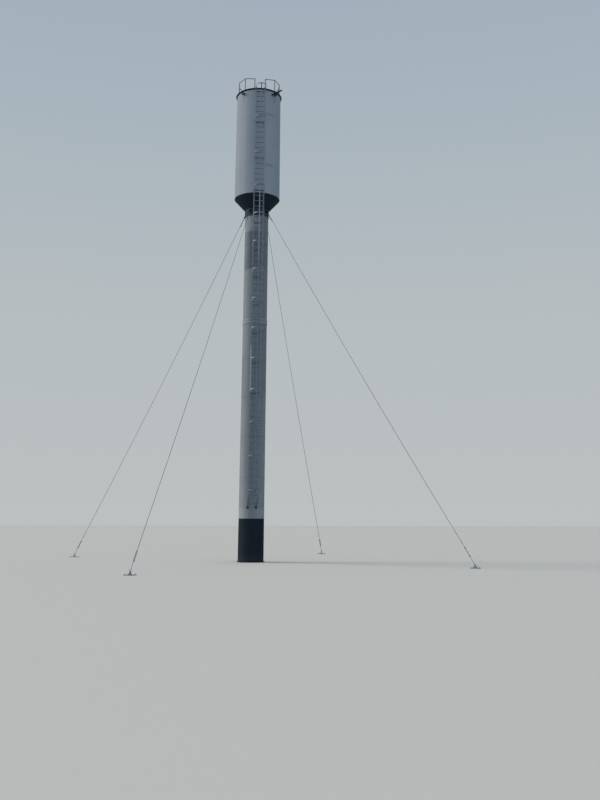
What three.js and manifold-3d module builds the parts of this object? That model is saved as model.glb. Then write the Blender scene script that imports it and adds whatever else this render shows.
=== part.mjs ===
// Guyed steel water tower: a slender tube column under a small cylindrical tank,
// with a caged ladder up its front, four guy ropes and a guard rail on the roof.
// Millimetres, +Z up, ladder side towards -Y. The origin is the centre of the base plate's underside.

import * as THREE from 'three';
import { mergeVertices } from 'three/addons/utils/BufferGeometryUtils.js';
import Module from 'manifold-3d';

const wasm = await Module();
wasm.setup();

// Driving dimensions

const SEAT_GAP = 0.3;
const LADDER_AZIMUTH = -90;

const BASE_PLATE_RADIUS = 545;
const BASE_PLATE_THICKNESS = 20;

const COLUMN_RADIUS = 510;
const COLUMN_WALL = 8;
const COLUMN_SIDES = 32;
const PAINT_LINE = 1625;
const SITE_JOINT = 9620;
const LOWER_COURSES = 5;
const UPPER_SEAM = 11910;
const JOINT_BAND_HEIGHT = 250;
const JOINT_BAND_THICKNESS = 12;

const COLLAR_BOTTOM = 14330;
const COLLAR_HEIGHT = 330;
const COLLAR_RADIUS = 530;

const CONE_HEIGHT = 540;
const CONE_FOOT_RADIUS = 520;
const CONE_WALL = 6;

const TANK_RADIUS = 1000;
const TANK_WALL = 6;
const TANK_SIDES = 40;
const TANK_COURSES = 4;
const TANK_HEIGHT = 5045;
const RIM_HEIGHT = 55;
const RIM_RADIUS = 1050;
const RIM_THICKNESS = 6;

const ROOF_RADIUS = 1020;
const ROOF_BRIM = 140;
const ROOF_RISE = 90;
const ROOF_THICKNESS = 5;
const HATCH_RADIUS = 290;
const HATCH_LID_RADIUS = 310;
const HATCH_LID_THICKNESS = 8;
const HATCH_TOP = 100;
const HATCH_Y = -420;
const HATCH_SIDES = 24;

const RAIL_RADIUS = 950;
const RAIL_HEIGHT = 645;
const RAIL_POST_RADIUS = 20;
const RAIL_BAR_RADIUS = 17;
const RAIL_BAR_SIDES = 6;
const RAIL_POST_CAP = 4;
const RAIL_POST_STEP = 30;
const RAIL_ROUND_POSTS = 5;
const ENTRY_POST_X = 240;
const ENTRY_POST_Y = -710;

const LADDER_Y = -1160;
const LADDER_HALF_WIDTH = 200;
const STILE_WIDTH = 45;
const STILE_THICKNESS = 5;
const LADDER_BOTTOM = 2400;
const LADDER_SECTION_TOPS = [5900, 9625, 14870];
const RUNG_STEP = 250;
const RUNG_RADIUS = 10;
const RUNG_SIDES = 6;
const FIRST_RUNG = 100;

const COLUMN_HOOPS = [2690, 3960, 5265, 6535, 7785, 9035, 10265, 11515, 12715, 13950];
const TANK_HOOPS = [15235, 16775, 18475, 20015];
const CAGE_DEPTH = 790;
const CAGE_BAR_THICKNESS = 6;
const CAGE_BAR_HEIGHT = 40;
const CAGE_ARC_SIDES = 7;
const CAGE_STRIP_SET_BACK = 24;

const BRACKET_THICKNESS = 8;
const BRACKET_HEIGHT = 40;
const BRACKET_FOOT_HALF = 115;
const BRACKET_STILE_INSET = 6;
const BRACKET_STILE_DEPTH = 8;
const TANK_TIE_SET_BACK = 42;
const TANK_TIE_THICKNESS = 6;

const STRUT_TOP_Z = 2440;
const STRUT_FOOT_Z = 2050;
const STRUT_TOP_HALF = 190;
const STRUT_FOOT_HALF = 165;
const STRUT_LEAN = -20;
const STRUT_WIDTH = 44;
const STRUT_THICKNESS = 10;
const STRUT_TIE_Z = 2180;
const STRUT_TIE_HEIGHT = 30;
const STRUT_PAD_WIDTH = 110;
const STRUT_PAD_HEIGHT = 90;
const STRUT_PAD_THICKNESS = 12;

const FITTING_ROOT = 30;
const TRUNNION_RADIUS = 55;
const TRUNNION_LENGTH = 100;
const TRUNNION_DISC_RADIUS = 75;
const TRUNNION_DISC_THICKNESS = 10;
const TRUNNION_DROP = 185;
const TRUNNION_SIDES = 16;
const OVERFLOW_RADIUS = 32;
const OVERFLOW_BORE_RADIUS = 27;
const OVERFLOW_LENGTH = 700;
const OVERFLOW_FALL = 50;
const OVERFLOW_BLIND_END = 20;
const OVERFLOW_DROP = 213;
const OVERFLOW_SIDES = 12;

const LEFT_TRUNNION_AZIMUTH = 224.5;
const RIGHT_TRUNNION_AZIMUTH = 311.5;
const OVERFLOW_AZIMUTH = 303.5;

const GUY_LUG_AZIMUTHS = [-45, 45, 146.25, 236.25];
const GUY_ANCHOR_AZIMUTHS = [-34.5, 64.4, 145.5, 243.5];
const GUY_ANCHOR_RADIUS = 9100;
const GUY_LUG_HEIGHT = 14490;
const GUY_LUG_REACH = 630;
const GUY_LUG_BELOW = 52;
const GUY_LUG_ABOVE = 150;
const GUY_LUG_THICKNESS = 16;
const GUY_EYE_RADIUS = 15;
const GUY_EYE_EDGE = 32;
const GUY_EYE_STEPS = 8;
const GUY_LUG_EYE_ARC = [-80, 70];
const GUY_ROPE_RADIUS = 7;
const GUY_ROPE_SIDES = 8;
const GUY_ROPE_STEPS = 12;
const GUY_SAG = 140;
const GUY_RING_RADIUS = 38;
const GUY_RING_SEGMENTS = 12;
const GUY_RING_SIDES = 6;
const WELD_OVERLAP = 4;

const TURNBUCKLE_LENGTH = 860;
const TURNBUCKLE_BODY_START = 258;
const TURNBUCKLE_BODY_END = 602;
const TURNBUCKLE_SIDES = 6;
const SCREW_RADIUS = 9;
const NUT_RADIUS = 30;
const NUT_LENGTH = 40;
const SIDE_BAR_RADIUS = 7;
const SIDE_BAR_OFFSET = 20;

const ANCHOR_PLATE_SIZE = 300;
const ANCHOR_PLATE_THICKNESS = 12;
const ANCHOR_EAR_HALF_WIDTH = 90;
const ANCHOR_EYE_HEIGHT = 95;

// Derived places

const coneBottom = COLLAR_BOTTOM + COLLAR_HEIGHT;
const tankBottom = coneBottom + CONE_HEIGHT;
const tankTop = tankBottom + TANK_HEIGHT;
const rimBottom = tankTop - RIM_HEIGHT;
const columnFace = COLUMN_RADIUS * Math.cos(Math.PI / COLUMN_SIDES);
const tankFace = TANK_RADIUS * Math.cos(Math.PI / TANK_SIDES);
const columnCourseTops = [
  PAINT_LINE,
  ...Array.from({ length: LOWER_COURSES }, (_, i) => {
    return PAINT_LINE + ((SITE_JOINT - PAINT_LINE) * (i + 1)) / LOWER_COURSES;
  }),
  UPPER_SEAM,
  COLLAR_BOTTOM,
];
const hoopHeights = [...COLUMN_HOOPS, ...TANK_HOOPS];
const cageSplit = LADDER_SECTION_TOPS[1];
const bracketEndX = LADDER_HALF_WIDTH + STILE_WIDTH / 2 - BRACKET_STILE_INSET;
const bracketEndY = LADDER_Y + BRACKET_STILE_DEPTH;

// Materials

const finishes = {
  paleShell: { color: 0xb9bcbd, roughness: 0.55, metalness: 0.25 },
  darkCoat: { color: 0x1d232b, roughness: 0.5, metalness: 0.2 },
  ladderPaint: { color: 0x9aa2a8, roughness: 0.55, metalness: 0.3 },
  railPaint: { color: 0x7d8790, roughness: 0.55, metalness: 0.3 },
  rope: { color: 0x4a4d50, roughness: 0.5, metalness: 0.7 },
  zinc: { color: 0xa9adb0, roughness: 0.45, metalness: 0.75 },
};

const tower = new THREE.Group();

function addPart(name, geometry, finish) {
  const mesh = new THREE.Mesh(geometry, new THREE.MeshStandardMaterial(finishes[finish]));
  mesh.name = name;
  tower.add(mesh);
}

// Solid helpers

function toSolid(geometry) {
  const bare = geometry.clone();
  bare.deleteAttribute('normal');
  bare.deleteAttribute('uv');
  const merged = mergeVertices(bare, 1e-3);
  return new wasm.Manifold(new wasm.Mesh({
    numProp: 3,
    vertProperties: new Float32Array(merged.attributes.position.array),
    triVerts: new Uint32Array(merged.index.array),
  }));
}

function toGeometry(solid) {
  const mesh = solid.getMesh();
  const geometry = new THREE.BufferGeometry();
  geometry.setAttribute('position', new THREE.BufferAttribute(new Float32Array(mesh.vertProperties), 3));
  geometry.setIndex(new THREE.BufferAttribute(new Uint32Array(mesh.triVerts), 1));
  geometry.computeVertexNormals();
  return geometry;
}

function joined(geometries) {
  return toGeometry(geometries.map(toSolid).reduce((whole, piece) => whole.add(piece)));
}

function cutBy(geometry, tool) {
  return toGeometry(toSolid(geometry).subtract(toSolid(tool)));
}

function radians(degrees) {
  return THREE.MathUtils.degToRad(degrees);
}

function polar(radius, azimuth, z) {
  return new THREE.Vector3(radius * Math.cos(radians(azimuth)), radius * Math.sin(radians(azimuth)), z);
}

// A regular outline whose flats, not corners, face the four main directions
function roundOutline(radius, sides) {
  return Array.from({ length: sides }, (_, i) => {
    const angle = (2 * Math.PI * (i + 0.5)) / sides;
    return new THREE.Vector2(radius * Math.cos(angle), radius * Math.sin(angle));
  });
}

function ring(outer, inner, bottom, top, sides) {
  const shape = new THREE.Shape(roundOutline(outer, sides));
  shape.holes.push(new THREE.Path(roundOutline(inner, sides)));
  const geometry = new THREE.ExtrudeGeometry(shape, { depth: top - bottom, bevelEnabled: false });
  return geometry.translate(0, 0, bottom);
}

function disc(radius, bottom, top, sides) {
  const shape = new THREE.Shape(roundOutline(radius, sides));
  const geometry = new THREE.ExtrudeGeometry(shape, { depth: top - bottom, bevelEnabled: false });
  return geometry.translate(0, 0, bottom);
}

// Turns a profile of [radius, height] points about Z
function turned(profile, sides) {
  const points = profile.map(([radius, height]) => new THREE.Vector2(radius, height));
  const geometry = new THREE.LatheGeometry(points, sides, Math.PI / sides);
  return geometry.rotateX(Math.PI / 2);
}

function box(sizeX, sizeY, sizeZ, centre) {
  return new THREE.BoxGeometry(sizeX, sizeY, sizeZ).translate(centre.x, centre.y, centre.z);
}

// A straight round bar between two points
function rod(from, to, radius, sides) {
  const span = to.clone().sub(from);
  const geometry = new THREE.CylinderGeometry(radius, radius, span.length(), sides);
  const turn = new THREE.Quaternion().setFromUnitVectors(new THREE.Vector3(0, 1, 0), span.normalize());
  const middle = from.clone().add(to).multiplyScalar(0.5);
  return geometry.applyQuaternion(turn).translate(middle.x, middle.y, middle.z);
}

// A straight flat bar between two points, its height kept as upright as the bar allows
function flatBar(from, to, thickness, height) {
  const along = to.clone().sub(from);
  const length = along.length();
  along.normalize();
  const side = new THREE.Vector3(0, 0, 1).cross(along).normalize();
  const up = along.clone().cross(side);
  const middle = from.clone().add(to).multiplyScalar(0.5);
  const place = new THREE.Matrix4().makeBasis(along, side, up).setPosition(middle);
  return new THREE.BoxGeometry(length, thickness, height).applyMatrix4(place);
}

// A flat bar on edge, bent along a path of points seen from above
function bentBar(path, thickness, height, z) {
  const normals = path.slice(1).map((point, i) => {
    const along = point.clone().sub(path[i]).normalize();
    return new THREE.Vector2(-along.y, along.x);
  });
  const offsets = path.map((_, i) => {
    const before = normals[Math.max(i - 1, 0)];
    const after = normals[Math.min(i, normals.length - 1)];
    const bisector = before.clone().add(after).normalize();
    return bisector.multiplyScalar(thickness / 2 / bisector.dot(after));
  });
  const leftSide = path.map((point, i) => point.clone().add(offsets[i]));
  const rightSide = path.map((point, i) => point.clone().sub(offsets[i]));
  const shape = new THREE.Shape([...leftSide, ...rightSide.reverse()]);
  const geometry = new THREE.ExtrudeGeometry(shape, { depth: height, bevelEnabled: false });
  return geometry.translate(0, 0, z - height / 2);
}

// Base and column

function buildColumn() {
  addPart('base_plate', disc(BASE_PLATE_RADIUS, 0, BASE_PLATE_THICKNESS, COLUMN_SIDES), 'darkCoat');
  const inner = COLUMN_RADIUS - COLUMN_WALL;
  let bottom = BASE_PLATE_THICKNESS;
  columnCourseTops.forEach((top, i) => {
    const name = i === 0 ? 'column_base_course' : `column_course_${i + 1}`;
    const finish = i === 0 ? 'darkCoat' : 'paleShell';
    addPart(name, ring(COLUMN_RADIUS, inner, bottom, top, COLUMN_SIDES), finish);
    bottom = top;
  });
  const bandInner = COLUMN_RADIUS + SEAT_GAP;
  const bandOuter = COLUMN_RADIUS + JOINT_BAND_THICKNESS;
  const bandBottom = SITE_JOINT - JOINT_BAND_HEIGHT / 2;
  const band = ring(bandOuter, bandInner, bandBottom, bandBottom + JOINT_BAND_HEIGHT, COLUMN_SIDES);
  addPart('column_joint_band', band, 'paleShell');
  addPart('column_collar', ring(COLLAR_RADIUS, inner, COLLAR_BOTTOM, coneBottom, COLUMN_SIDES), 'darkCoat');
}

// Tank

function buildTankShell() {
  const wallAcross = CONE_WALL * Math.SQRT2;
  const cone = turned([
    [CONE_FOOT_RADIUS, coneBottom],
    [TANK_RADIUS, tankBottom],
    [TANK_RADIUS - wallAcross, tankBottom],
    [CONE_FOOT_RADIUS - wallAcross, coneBottom],
    [CONE_FOOT_RADIUS, coneBottom],
  ], TANK_SIDES);
  addPart('tank_cone', cone, 'darkCoat');

  const inner = TANK_RADIUS - TANK_WALL;
  const courseHeight = (rimBottom - tankBottom) / TANK_COURSES;
  for (let i = 0; i < TANK_COURSES; i += 1) {
    const bottom = tankBottom + courseHeight * i;
    const course = ring(TANK_RADIUS, inner, bottom, bottom + courseHeight, TANK_SIDES);
    addPart(`tank_course_${i + 1}`, course, 'paleShell');
  }
  addPart('tank_rim', rimAngle(inner), 'darkCoat');
}

// An angle bar rolled to a ring: its leg carries on the shell, its flange stands out level with the top
function rimAngle(inner) {
  const legFace = TANK_RADIUS + RIM_THICKNESS;
  const flangeBottom = tankTop - RIM_THICKNESS;
  return turned([
    [legFace, rimBottom],
    [legFace, flangeBottom],
    [RIM_RADIUS, flangeBottom],
    [RIM_RADIUS, tankTop],
    [inner, tankTop],
    [inner, rimBottom],
    [legFace, rimBottom],
  ], TANK_SIDES);
}

// The roof's outer surface as a list of [radius, height] points, raised by `lift`
function roofLine(lift) {
  const top = tankTop + ROOF_THICKNESS + lift;
  return [[ROOF_RADIUS, top], [ROOF_RADIUS - ROOF_BRIM, top], [0, top + ROOF_RISE]];
}

// What stands on the roof is trimmed by this body to sit on it
function roofCutter() {
  const bottom = tankTop - ROOF_RISE;
  return turned([[0, bottom], [ROOF_RADIUS, bottom], ...roofLine(SEAT_GAP)], TANK_SIDES);
}

function buildRoof() {
  const underside = roofLine(-ROOF_THICKNESS).reverse();
  addPart('tank_roof', turned([...underside, ...roofLine(0)], TANK_SIDES), 'darkCoat');

  const lidTop = tankTop + HATCH_TOP;
  const lidBottom = lidTop - HATCH_LID_THICKNESS;
  const collar = disc(HATCH_RADIUS, tankTop, lidBottom, HATCH_SIDES);
  const lid = disc(HATCH_LID_RADIUS, lidBottom, lidTop, HATCH_SIDES);
  const hatch = joined([collar, lid]).translate(0, HATCH_Y, 0);
  addPart('roof_hatch', cutBy(hatch, roofCutter()), 'darkCoat');
}

// Guard rail: two mirrored halves that meet at the back. The first post of each stands
// back beside the ladder's head, the others stand round the brim.
function guardRailHalf(side) {
  const postTop = tankTop + RAIL_HEIGHT;
  const barHeight = postTop - RAIL_POST_CAP - RAIL_BAR_RADIUS;
  const spots = [new THREE.Vector3(side * ENTRY_POST_X, ENTRY_POST_Y, 0)];
  for (let i = 1; i <= RAIL_ROUND_POSTS; i += 1) {
    spots.push(polar(RAIL_RADIUS, LADDER_AZIMUTH + side * RAIL_POST_STEP * (i + 0.5), 0));
  }
  const posts = spots.map(({ x, y }) => {
    const foot = new THREE.Vector3(x, y, tankTop);
    return rod(foot, new THREE.Vector3(x, y, postTop), RAIL_POST_RADIUS, RAIL_BAR_SIDES);
  });
  const corners = spots.map(({ x, y }) => new THREE.Vector3(x, y, barHeight));
  const backMiddle = RAIL_RADIUS * Math.cos(radians(RAIL_POST_STEP / 2));
  corners.push(new THREE.Vector3((side * SEAT_GAP) / 2, backMiddle, barHeight));
  const bars = corners.slice(1).map((corner, i) => rod(corners[i], corner, RAIL_BAR_RADIUS, RAIL_BAR_SIDES));
  return cutBy(joined([...posts, ...bars]), roofCutter());
}

// Ladder: angle-bar stiles with round rungs and the bent bars that carry it

function stile(side, bottom, top) {
  const outside = side * (LADDER_HALF_WIDTH + STILE_WIDTH / 2);
  const front = LADDER_Y - STILE_WIDTH / 2;
  const shape = new THREE.Shape([
    new THREE.Vector2(outside, front),
    new THREE.Vector2(outside - side * STILE_WIDTH, front),
    new THREE.Vector2(outside - side * STILE_WIDTH, front + STILE_THICKNESS),
    new THREE.Vector2(outside - side * STILE_THICKNESS, front + STILE_THICKNESS),
    new THREE.Vector2(outside - side * STILE_THICKNESS, front + STILE_WIDTH),
    new THREE.Vector2(outside, front + STILE_WIDTH),
  ]);
  const geometry = new THREE.ExtrudeGeometry(shape, { depth: top - bottom, bevelEnabled: false });
  return geometry.translate(0, 0, bottom);
}

function rungsBetween(bottom, top) {
  const reach = LADDER_HALF_WIDTH + STILE_WIDTH / 2 - STILE_THICKNESS / 2;
  const rungs = [];
  for (let z = LADDER_BOTTOM + FIRST_RUNG; z < top; z += RUNG_STEP) {
    if (z > bottom) {
      const left = new THREE.Vector3(-reach, LADDER_Y, z);
      rungs.push(rod(left, new THREE.Vector3(reach, LADDER_Y, z), RUNG_RADIUS, RUNG_SIDES));
    }
  }
  return rungs;
}

// One flat bar bent to a shallow dish: its middle on the column, its ends on the stiles
function columnBracket(z) {
  const middleY = -(columnFace + SEAT_GAP + BRACKET_THICKNESS / 2);
  const path = [
    new THREE.Vector2(-bracketEndX, bracketEndY),
    new THREE.Vector2(-BRACKET_FOOT_HALF, middleY),
    new THREE.Vector2(BRACKET_FOOT_HALF, middleY),
    new THREE.Vector2(bracketEndX, bracketEndY),
  ];
  return bentBar(path, BRACKET_THICKNESS, BRACKET_HEIGHT, z);
}

// Two short arms welded to the tank, with a tie across behind the rungs
function tankBracket(z) {
  const shell = disc(TANK_RADIUS + SEAT_GAP, z - BRACKET_HEIGHT, z + BRACKET_HEIGHT, TANK_SIDES);
  const armEndY = -TANK_RADIUS + 2 * STILE_WIDTH;
  const tieY = LADDER_Y + TANK_TIE_SET_BACK;
  const arms = [-1, 1].map((side) => {
    const path = [
      new THREE.Vector2(side * bracketEndX, bracketEndY),
      new THREE.Vector2(side * bracketEndX, armEndY),
    ];
    return cutBy(bentBar(path, BRACKET_THICKNESS, BRACKET_HEIGHT, z), shell);
  });
  const tiePath = [new THREE.Vector2(-bracketEndX, tieY), new THREE.Vector2(bracketEndX, tieY)];
  return joined([...arms, bentBar(tiePath, TANK_TIE_THICKNESS, BRACKET_HEIGHT, z)]);
}

function ladderSection(bottom, top) {
  const brackets = hoopHeights.filter((z) => z > bottom && z < top).map((z) => {
    return z < tankBottom ? columnBracket(z) : tankBracket(z);
  });
  return joined([stile(-1, bottom, top), stile(1, bottom, top), ...rungsBetween(bottom, top), ...brackets]);
}

// Two dark struts that carry the ladder's lower end, their pads welded to the column
function ladderFoot() {
  const footX = (side) => side * STRUT_FOOT_HALF + STRUT_LEAN;
  const seatY = LADDER_Y - STILE_WIDTH / 2 + STILE_THICKNESS + SEAT_GAP;
  const reach = -COLUMN_RADIUS - seatY;
  const drop = STRUT_TOP_Z - STRUT_FOOT_Z;
  const cornerFromSlope = (STRUT_THICKNESS / 2) * Math.sin(Math.atan2(drop, reach));
  const struts = [-1, 1].map((side) => {
    const shift = footX(side) - side * STRUT_TOP_HALF;
    const cornerFromShift = ((STRUT_WIDTH / 2) * Math.abs(shift)) / reach;
    const topY = seatY + cornerFromSlope + cornerFromShift;
    const top = new THREE.Vector3(side * STRUT_TOP_HALF, topY, STRUT_TOP_Z);
    const foot = new THREE.Vector3(footX(side), -COLUMN_RADIUS, STRUT_FOOT_Z);
    return flatBar(top, top.clone().lerp(foot, 1 + STRUT_PAD_WIDTH / reach), STRUT_WIDTH, STRUT_THICKNESS);
  });
  const pads = [-1, 1].map((side) => {
    const centre = new THREE.Vector3(COLUMN_RADIUS, 0, STRUT_FOOT_Z);
    const pad = box(2 * STRUT_PAD_THICKNESS, STRUT_PAD_WIDTH, STRUT_PAD_HEIGHT, centre);
    return pad.rotateZ(Math.asin(footX(side) / COLUMN_RADIUS) - Math.PI / 2);
  });
  const tieShare = (STRUT_TOP_Z - STRUT_TIE_Z) / drop;
  const tieCentre = new THREE.Vector3(STRUT_LEAN * tieShare, seatY + reach * tieShare, STRUT_TIE_Z);
  const tie = box(2 * STRUT_FOOT_HALF, STRUT_THICKNESS, STRUT_TIE_HEIGHT, tieCentre);
  const shell = disc(COLUMN_RADIUS + SEAT_GAP, 0, STRUT_TOP_Z, COLUMN_SIDES);
  return cutBy(joined([...struts, ...pads, tie]), shell);
}

// Safety cage: deep U hoops round the climbing space, tied by three upright strips

function cageHoop(z) {
  const inner = LADDER_HALF_WIDTH + STILE_WIDTH / 2;
  const outer = inner + CAGE_BAR_THICKNESS;
  const back = LADDER_Y + STILE_WIDTH / 2;
  const arcCentre = LADDER_Y - CAGE_DEPTH + outer;
  const arc = (radius) => Array.from({ length: CAGE_ARC_SIDES + 1 }, (_, i) => {
    const angle = (-Math.PI * i) / CAGE_ARC_SIDES;
    return new THREE.Vector2(radius * Math.cos(angle), arcCentre + radius * Math.sin(angle));
  });
  const shape = new THREE.Shape([
    new THREE.Vector2(outer, back),
    ...arc(outer),
    new THREE.Vector2(-outer, back),
    new THREE.Vector2(-inner, back),
    ...arc(inner).reverse(),
    new THREE.Vector2(inner, back),
  ]);
  const geometry = new THREE.ExtrudeGeometry(shape, { depth: CAGE_BAR_HEIGHT, bevelEnabled: false });
  return geometry.translate(0, 0, z - CAGE_BAR_HEIGHT / 2);
}

function cageStrips(bottom, top) {
  const inner = LADDER_HALF_WIDTH + STILE_WIDTH / 2;
  const arcCentre = LADDER_Y - CAGE_DEPTH + inner + CAGE_BAR_THICKNESS;
  const frontFace = arcCentre - inner * Math.cos(Math.PI / CAGE_ARC_SIDES / 2);
  const height = top - bottom;
  const middle = (top + bottom) / 2;
  const sunk = CAGE_BAR_THICKNESS / 3;
  const sides = [-1, 1].map((side) => {
    const x = side * (inner - CAGE_BAR_THICKNESS / 2 + sunk);
    const centre = new THREE.Vector3(x, arcCentre + CAGE_STRIP_SET_BACK, middle);
    return box(CAGE_BAR_THICKNESS, CAGE_BAR_HEIGHT, height, centre);
  });
  const frontY = frontFace + CAGE_BAR_THICKNESS / 2 - sunk;
  const front = box(CAGE_BAR_HEIGHT, CAGE_BAR_THICKNESS, height, new THREE.Vector3(0, frontY, middle));
  return [...sides, front];
}

function cageSection(bottom, top) {
  const hoops = hoopHeights.filter((z) => z > bottom && z < top).map(cageHoop);
  return joined([...hoops, ...cageStrips(bottom, top)]);
}

function buildLadder() {
  let bottom = LADDER_BOTTOM;
  [...LADDER_SECTION_TOPS, tankTop].forEach((top, i) => {
    addPart(`ladder_section_${i + 1}`, ladderSection(bottom, top), 'ladderPaint');
    bottom = top;
  });
  addPart('ladder_foot', ladderFoot(), 'darkCoat');
  const cageBottom = COLUMN_HOOPS[0] - CAGE_BAR_HEIGHT / 2;
  const cageTop = TANK_HOOPS.at(-1) + CAGE_BAR_HEIGHT / 2;
  addPart('safety_cage_lower', cageSection(cageBottom, cageSplit), 'ladderPaint');
  addPart('safety_cage_upper', cageSection(cageSplit, cageTop), 'ladderPaint');
}

// Fittings under the rim

// What is welded to the shell is trimmed by this body to sit on it
function shellCutter() {
  return disc(TANK_RADIUS + SEAT_GAP, tankBottom, tankTop, TANK_SIDES);
}

function trunnion(azimuth) {
  const z = tankTop - TRUNNION_DROP;
  const end = polar(tankFace + TRUNNION_LENGTH, azimuth, z);
  const discBack = polar(tankFace + TRUNNION_LENGTH - TRUNNION_DISC_THICKNESS, azimuth, z);
  const stub = rod(polar(tankFace - FITTING_ROOT, azimuth, z), end, TRUNNION_RADIUS, TRUNNION_SIDES);
  return cutBy(joined([stub, rod(discBack, end, TRUNNION_DISC_RADIUS, TRUNNION_SIDES)]), shellCutter());
}

// A pipe that falls a little outwards, blind at the shell and open at its mouth
function overflowPipe() {
  const onShell = polar(tankFace, OVERFLOW_AZIMUTH, tankTop - OVERFLOW_DROP);
  const mouth = polar(tankFace + OVERFLOW_LENGTH, OVERFLOW_AZIMUTH, onShell.z - OVERFLOW_FALL);
  const along = mouth.clone().sub(onShell).normalize();
  const root = onShell.clone().addScaledVector(along, -FITTING_ROOT);
  const boreStart = onShell.clone().addScaledVector(along, OVERFLOW_BLIND_END);
  const boreEnd = mouth.clone().addScaledVector(along, OVERFLOW_BLIND_END);
  const pipe = cutBy(rod(root, mouth, OVERFLOW_RADIUS, OVERFLOW_SIDES), shellCutter());
  return cutBy(pipe, rod(boreStart, boreEnd, OVERFLOW_BORE_RADIUS, OVERFLOW_SIDES));
}

// Guys: eye plates on the collar, sagging wire ropes, turnbuckles and ground plates

// An upright eye plate with its outline in the (outward, up) plane, centred on that plane
function eyePlate(outline, holeAt, azimuth) {
  const shape = new THREE.Shape(outline);
  const hole = new THREE.Path().absarc(holeAt.x, holeAt.y, GUY_EYE_RADIUS, 0, 2 * Math.PI, true);
  shape.holes.push(hole);
  const geometry = new THREE.ExtrudeGeometry(shape, {
    depth: GUY_LUG_THICKNESS,
    bevelEnabled: false,
    curveSegments: GUY_RING_SEGMENTS,
  });
  geometry.translate(0, 0, -GUY_LUG_THICKNESS / 2);
  geometry.rotateX(Math.PI / 2);
  return geometry.rotateZ(radians(azimuth));
}

// The round end of an eye plate, from one angle in degrees to another
function roundedEnd(centre, startDegrees, endDegrees) {
  return Array.from({ length: GUY_EYE_STEPS + 1 }, (_, i) => {
    const angle = radians(startDegrees + ((endDegrees - startDegrees) * i) / GUY_EYE_STEPS);
    const x = centre.x + GUY_EYE_EDGE * Math.cos(angle);
    return new THREE.Vector2(x, centre.y + GUY_EYE_EDGE * Math.sin(angle));
  });
}

function guyLug(azimuth) {
  const root = COLLAR_RADIUS * Math.cos(Math.PI / COLUMN_SIDES) + SEAT_GAP;
  const eye = new THREE.Vector2(GUY_LUG_REACH, GUY_LUG_HEIGHT);
  const outline = [
    new THREE.Vector2(root, GUY_LUG_HEIGHT - GUY_LUG_BELOW),
    ...roundedEnd(eye, ...GUY_LUG_EYE_ARC),
    new THREE.Vector2(root, GUY_LUG_HEIGHT + GUY_LUG_ABOVE),
  ];
  return eyePlate(outline, eye, azimuth);
}

function guyAnchor(azimuth) {
  const eye = new THREE.Vector2(0, ANCHOR_EYE_HEIGHT);
  const earBottom = ANCHOR_PLATE_THICKNESS - WELD_OVERLAP;
  const outline = [
    new THREE.Vector2(-ANCHOR_EAR_HALF_WIDTH, earBottom),
    new THREE.Vector2(ANCHOR_EAR_HALF_WIDTH, earBottom),
    ...roundedEnd(eye, 0, 180),
  ];
  const plateCentre = new THREE.Vector3(0, 0, ANCHOR_PLATE_THICKNESS / 2);
  const plate = box(ANCHOR_PLATE_SIZE, ANCHOR_PLATE_SIZE, ANCHOR_PLATE_THICKNESS, plateCentre);
  const spot = polar(GUY_ANCHOR_RADIUS, azimuth, 0);
  return joined([plate, eyePlate(outline, eye, 0)]).rotateZ(radians(azimuth)).translate(spot.x, spot.y, 0);
}

// The ring that hooks an eye: pulled towards `along`, lying across the eye plate.
// Its tube bears on the rim of the eye, where the ring's bend and tilt bring it closest.
function hookRing(eye, along, azimuth) {
  const plateNormal = new THREE.Vector3(-Math.sin(radians(azimuth)), Math.cos(radians(azimuth)), 0);
  const across = plateNormal.clone().addScaledVector(along, -plateNormal.dot(along)).normalize();
  const halfPlate = GUY_LUG_THICKNESS / 2;
  const tilt = halfPlate * Math.tan(Math.asin(Math.abs(plateNormal.dot(along))));
  const bend = halfPlate * Math.tan(Math.PI / GUY_RING_SEGMENTS);
  const seat = GUY_EYE_RADIUS - GUY_ROPE_RADIUS - tilt - bend - 3 * SEAT_GAP;
  const centre = eye.clone().addScaledVector(along, seat + GUY_RING_RADIUS);
  const place = new THREE.Matrix4()
    .makeBasis(along, across, along.clone().cross(across))
    .setPosition(centre);
  const torus = new THREE.TorusGeometry(GUY_RING_RADIUS, GUY_ROPE_RADIUS, GUY_RING_SIDES, GUY_RING_SEGMENTS);
  const farSide = centre.clone().addScaledVector(along, GUY_RING_RADIUS - WELD_OVERLAP / 2);
  return { geometry: torus.applyMatrix4(place), farSide };
}

// A rope between two points whose middle hangs GUY_SAG below the straight line
class SaggingRope extends THREE.Curve {
  constructor(from, to) {
    super();
    this.from = from;
    this.to = to;
  }

  getPoint(t, target = new THREE.Vector3()) {
    target.lerpVectors(this.from, this.to, t);
    target.z -= 4 * GUY_SAG * t * (1 - t);
    return target;
  }
}

function ropeTube(from, to) {
  const section = new THREE.Shape(roundOutline(GUY_ROPE_RADIUS, GUY_ROPE_SIDES));
  return new THREE.ExtrudeGeometry(section, {
    steps: GUY_ROPE_STEPS,
    extrudePath: new SaggingRope(from, to),
    bevelEnabled: false,
  });
}

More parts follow.
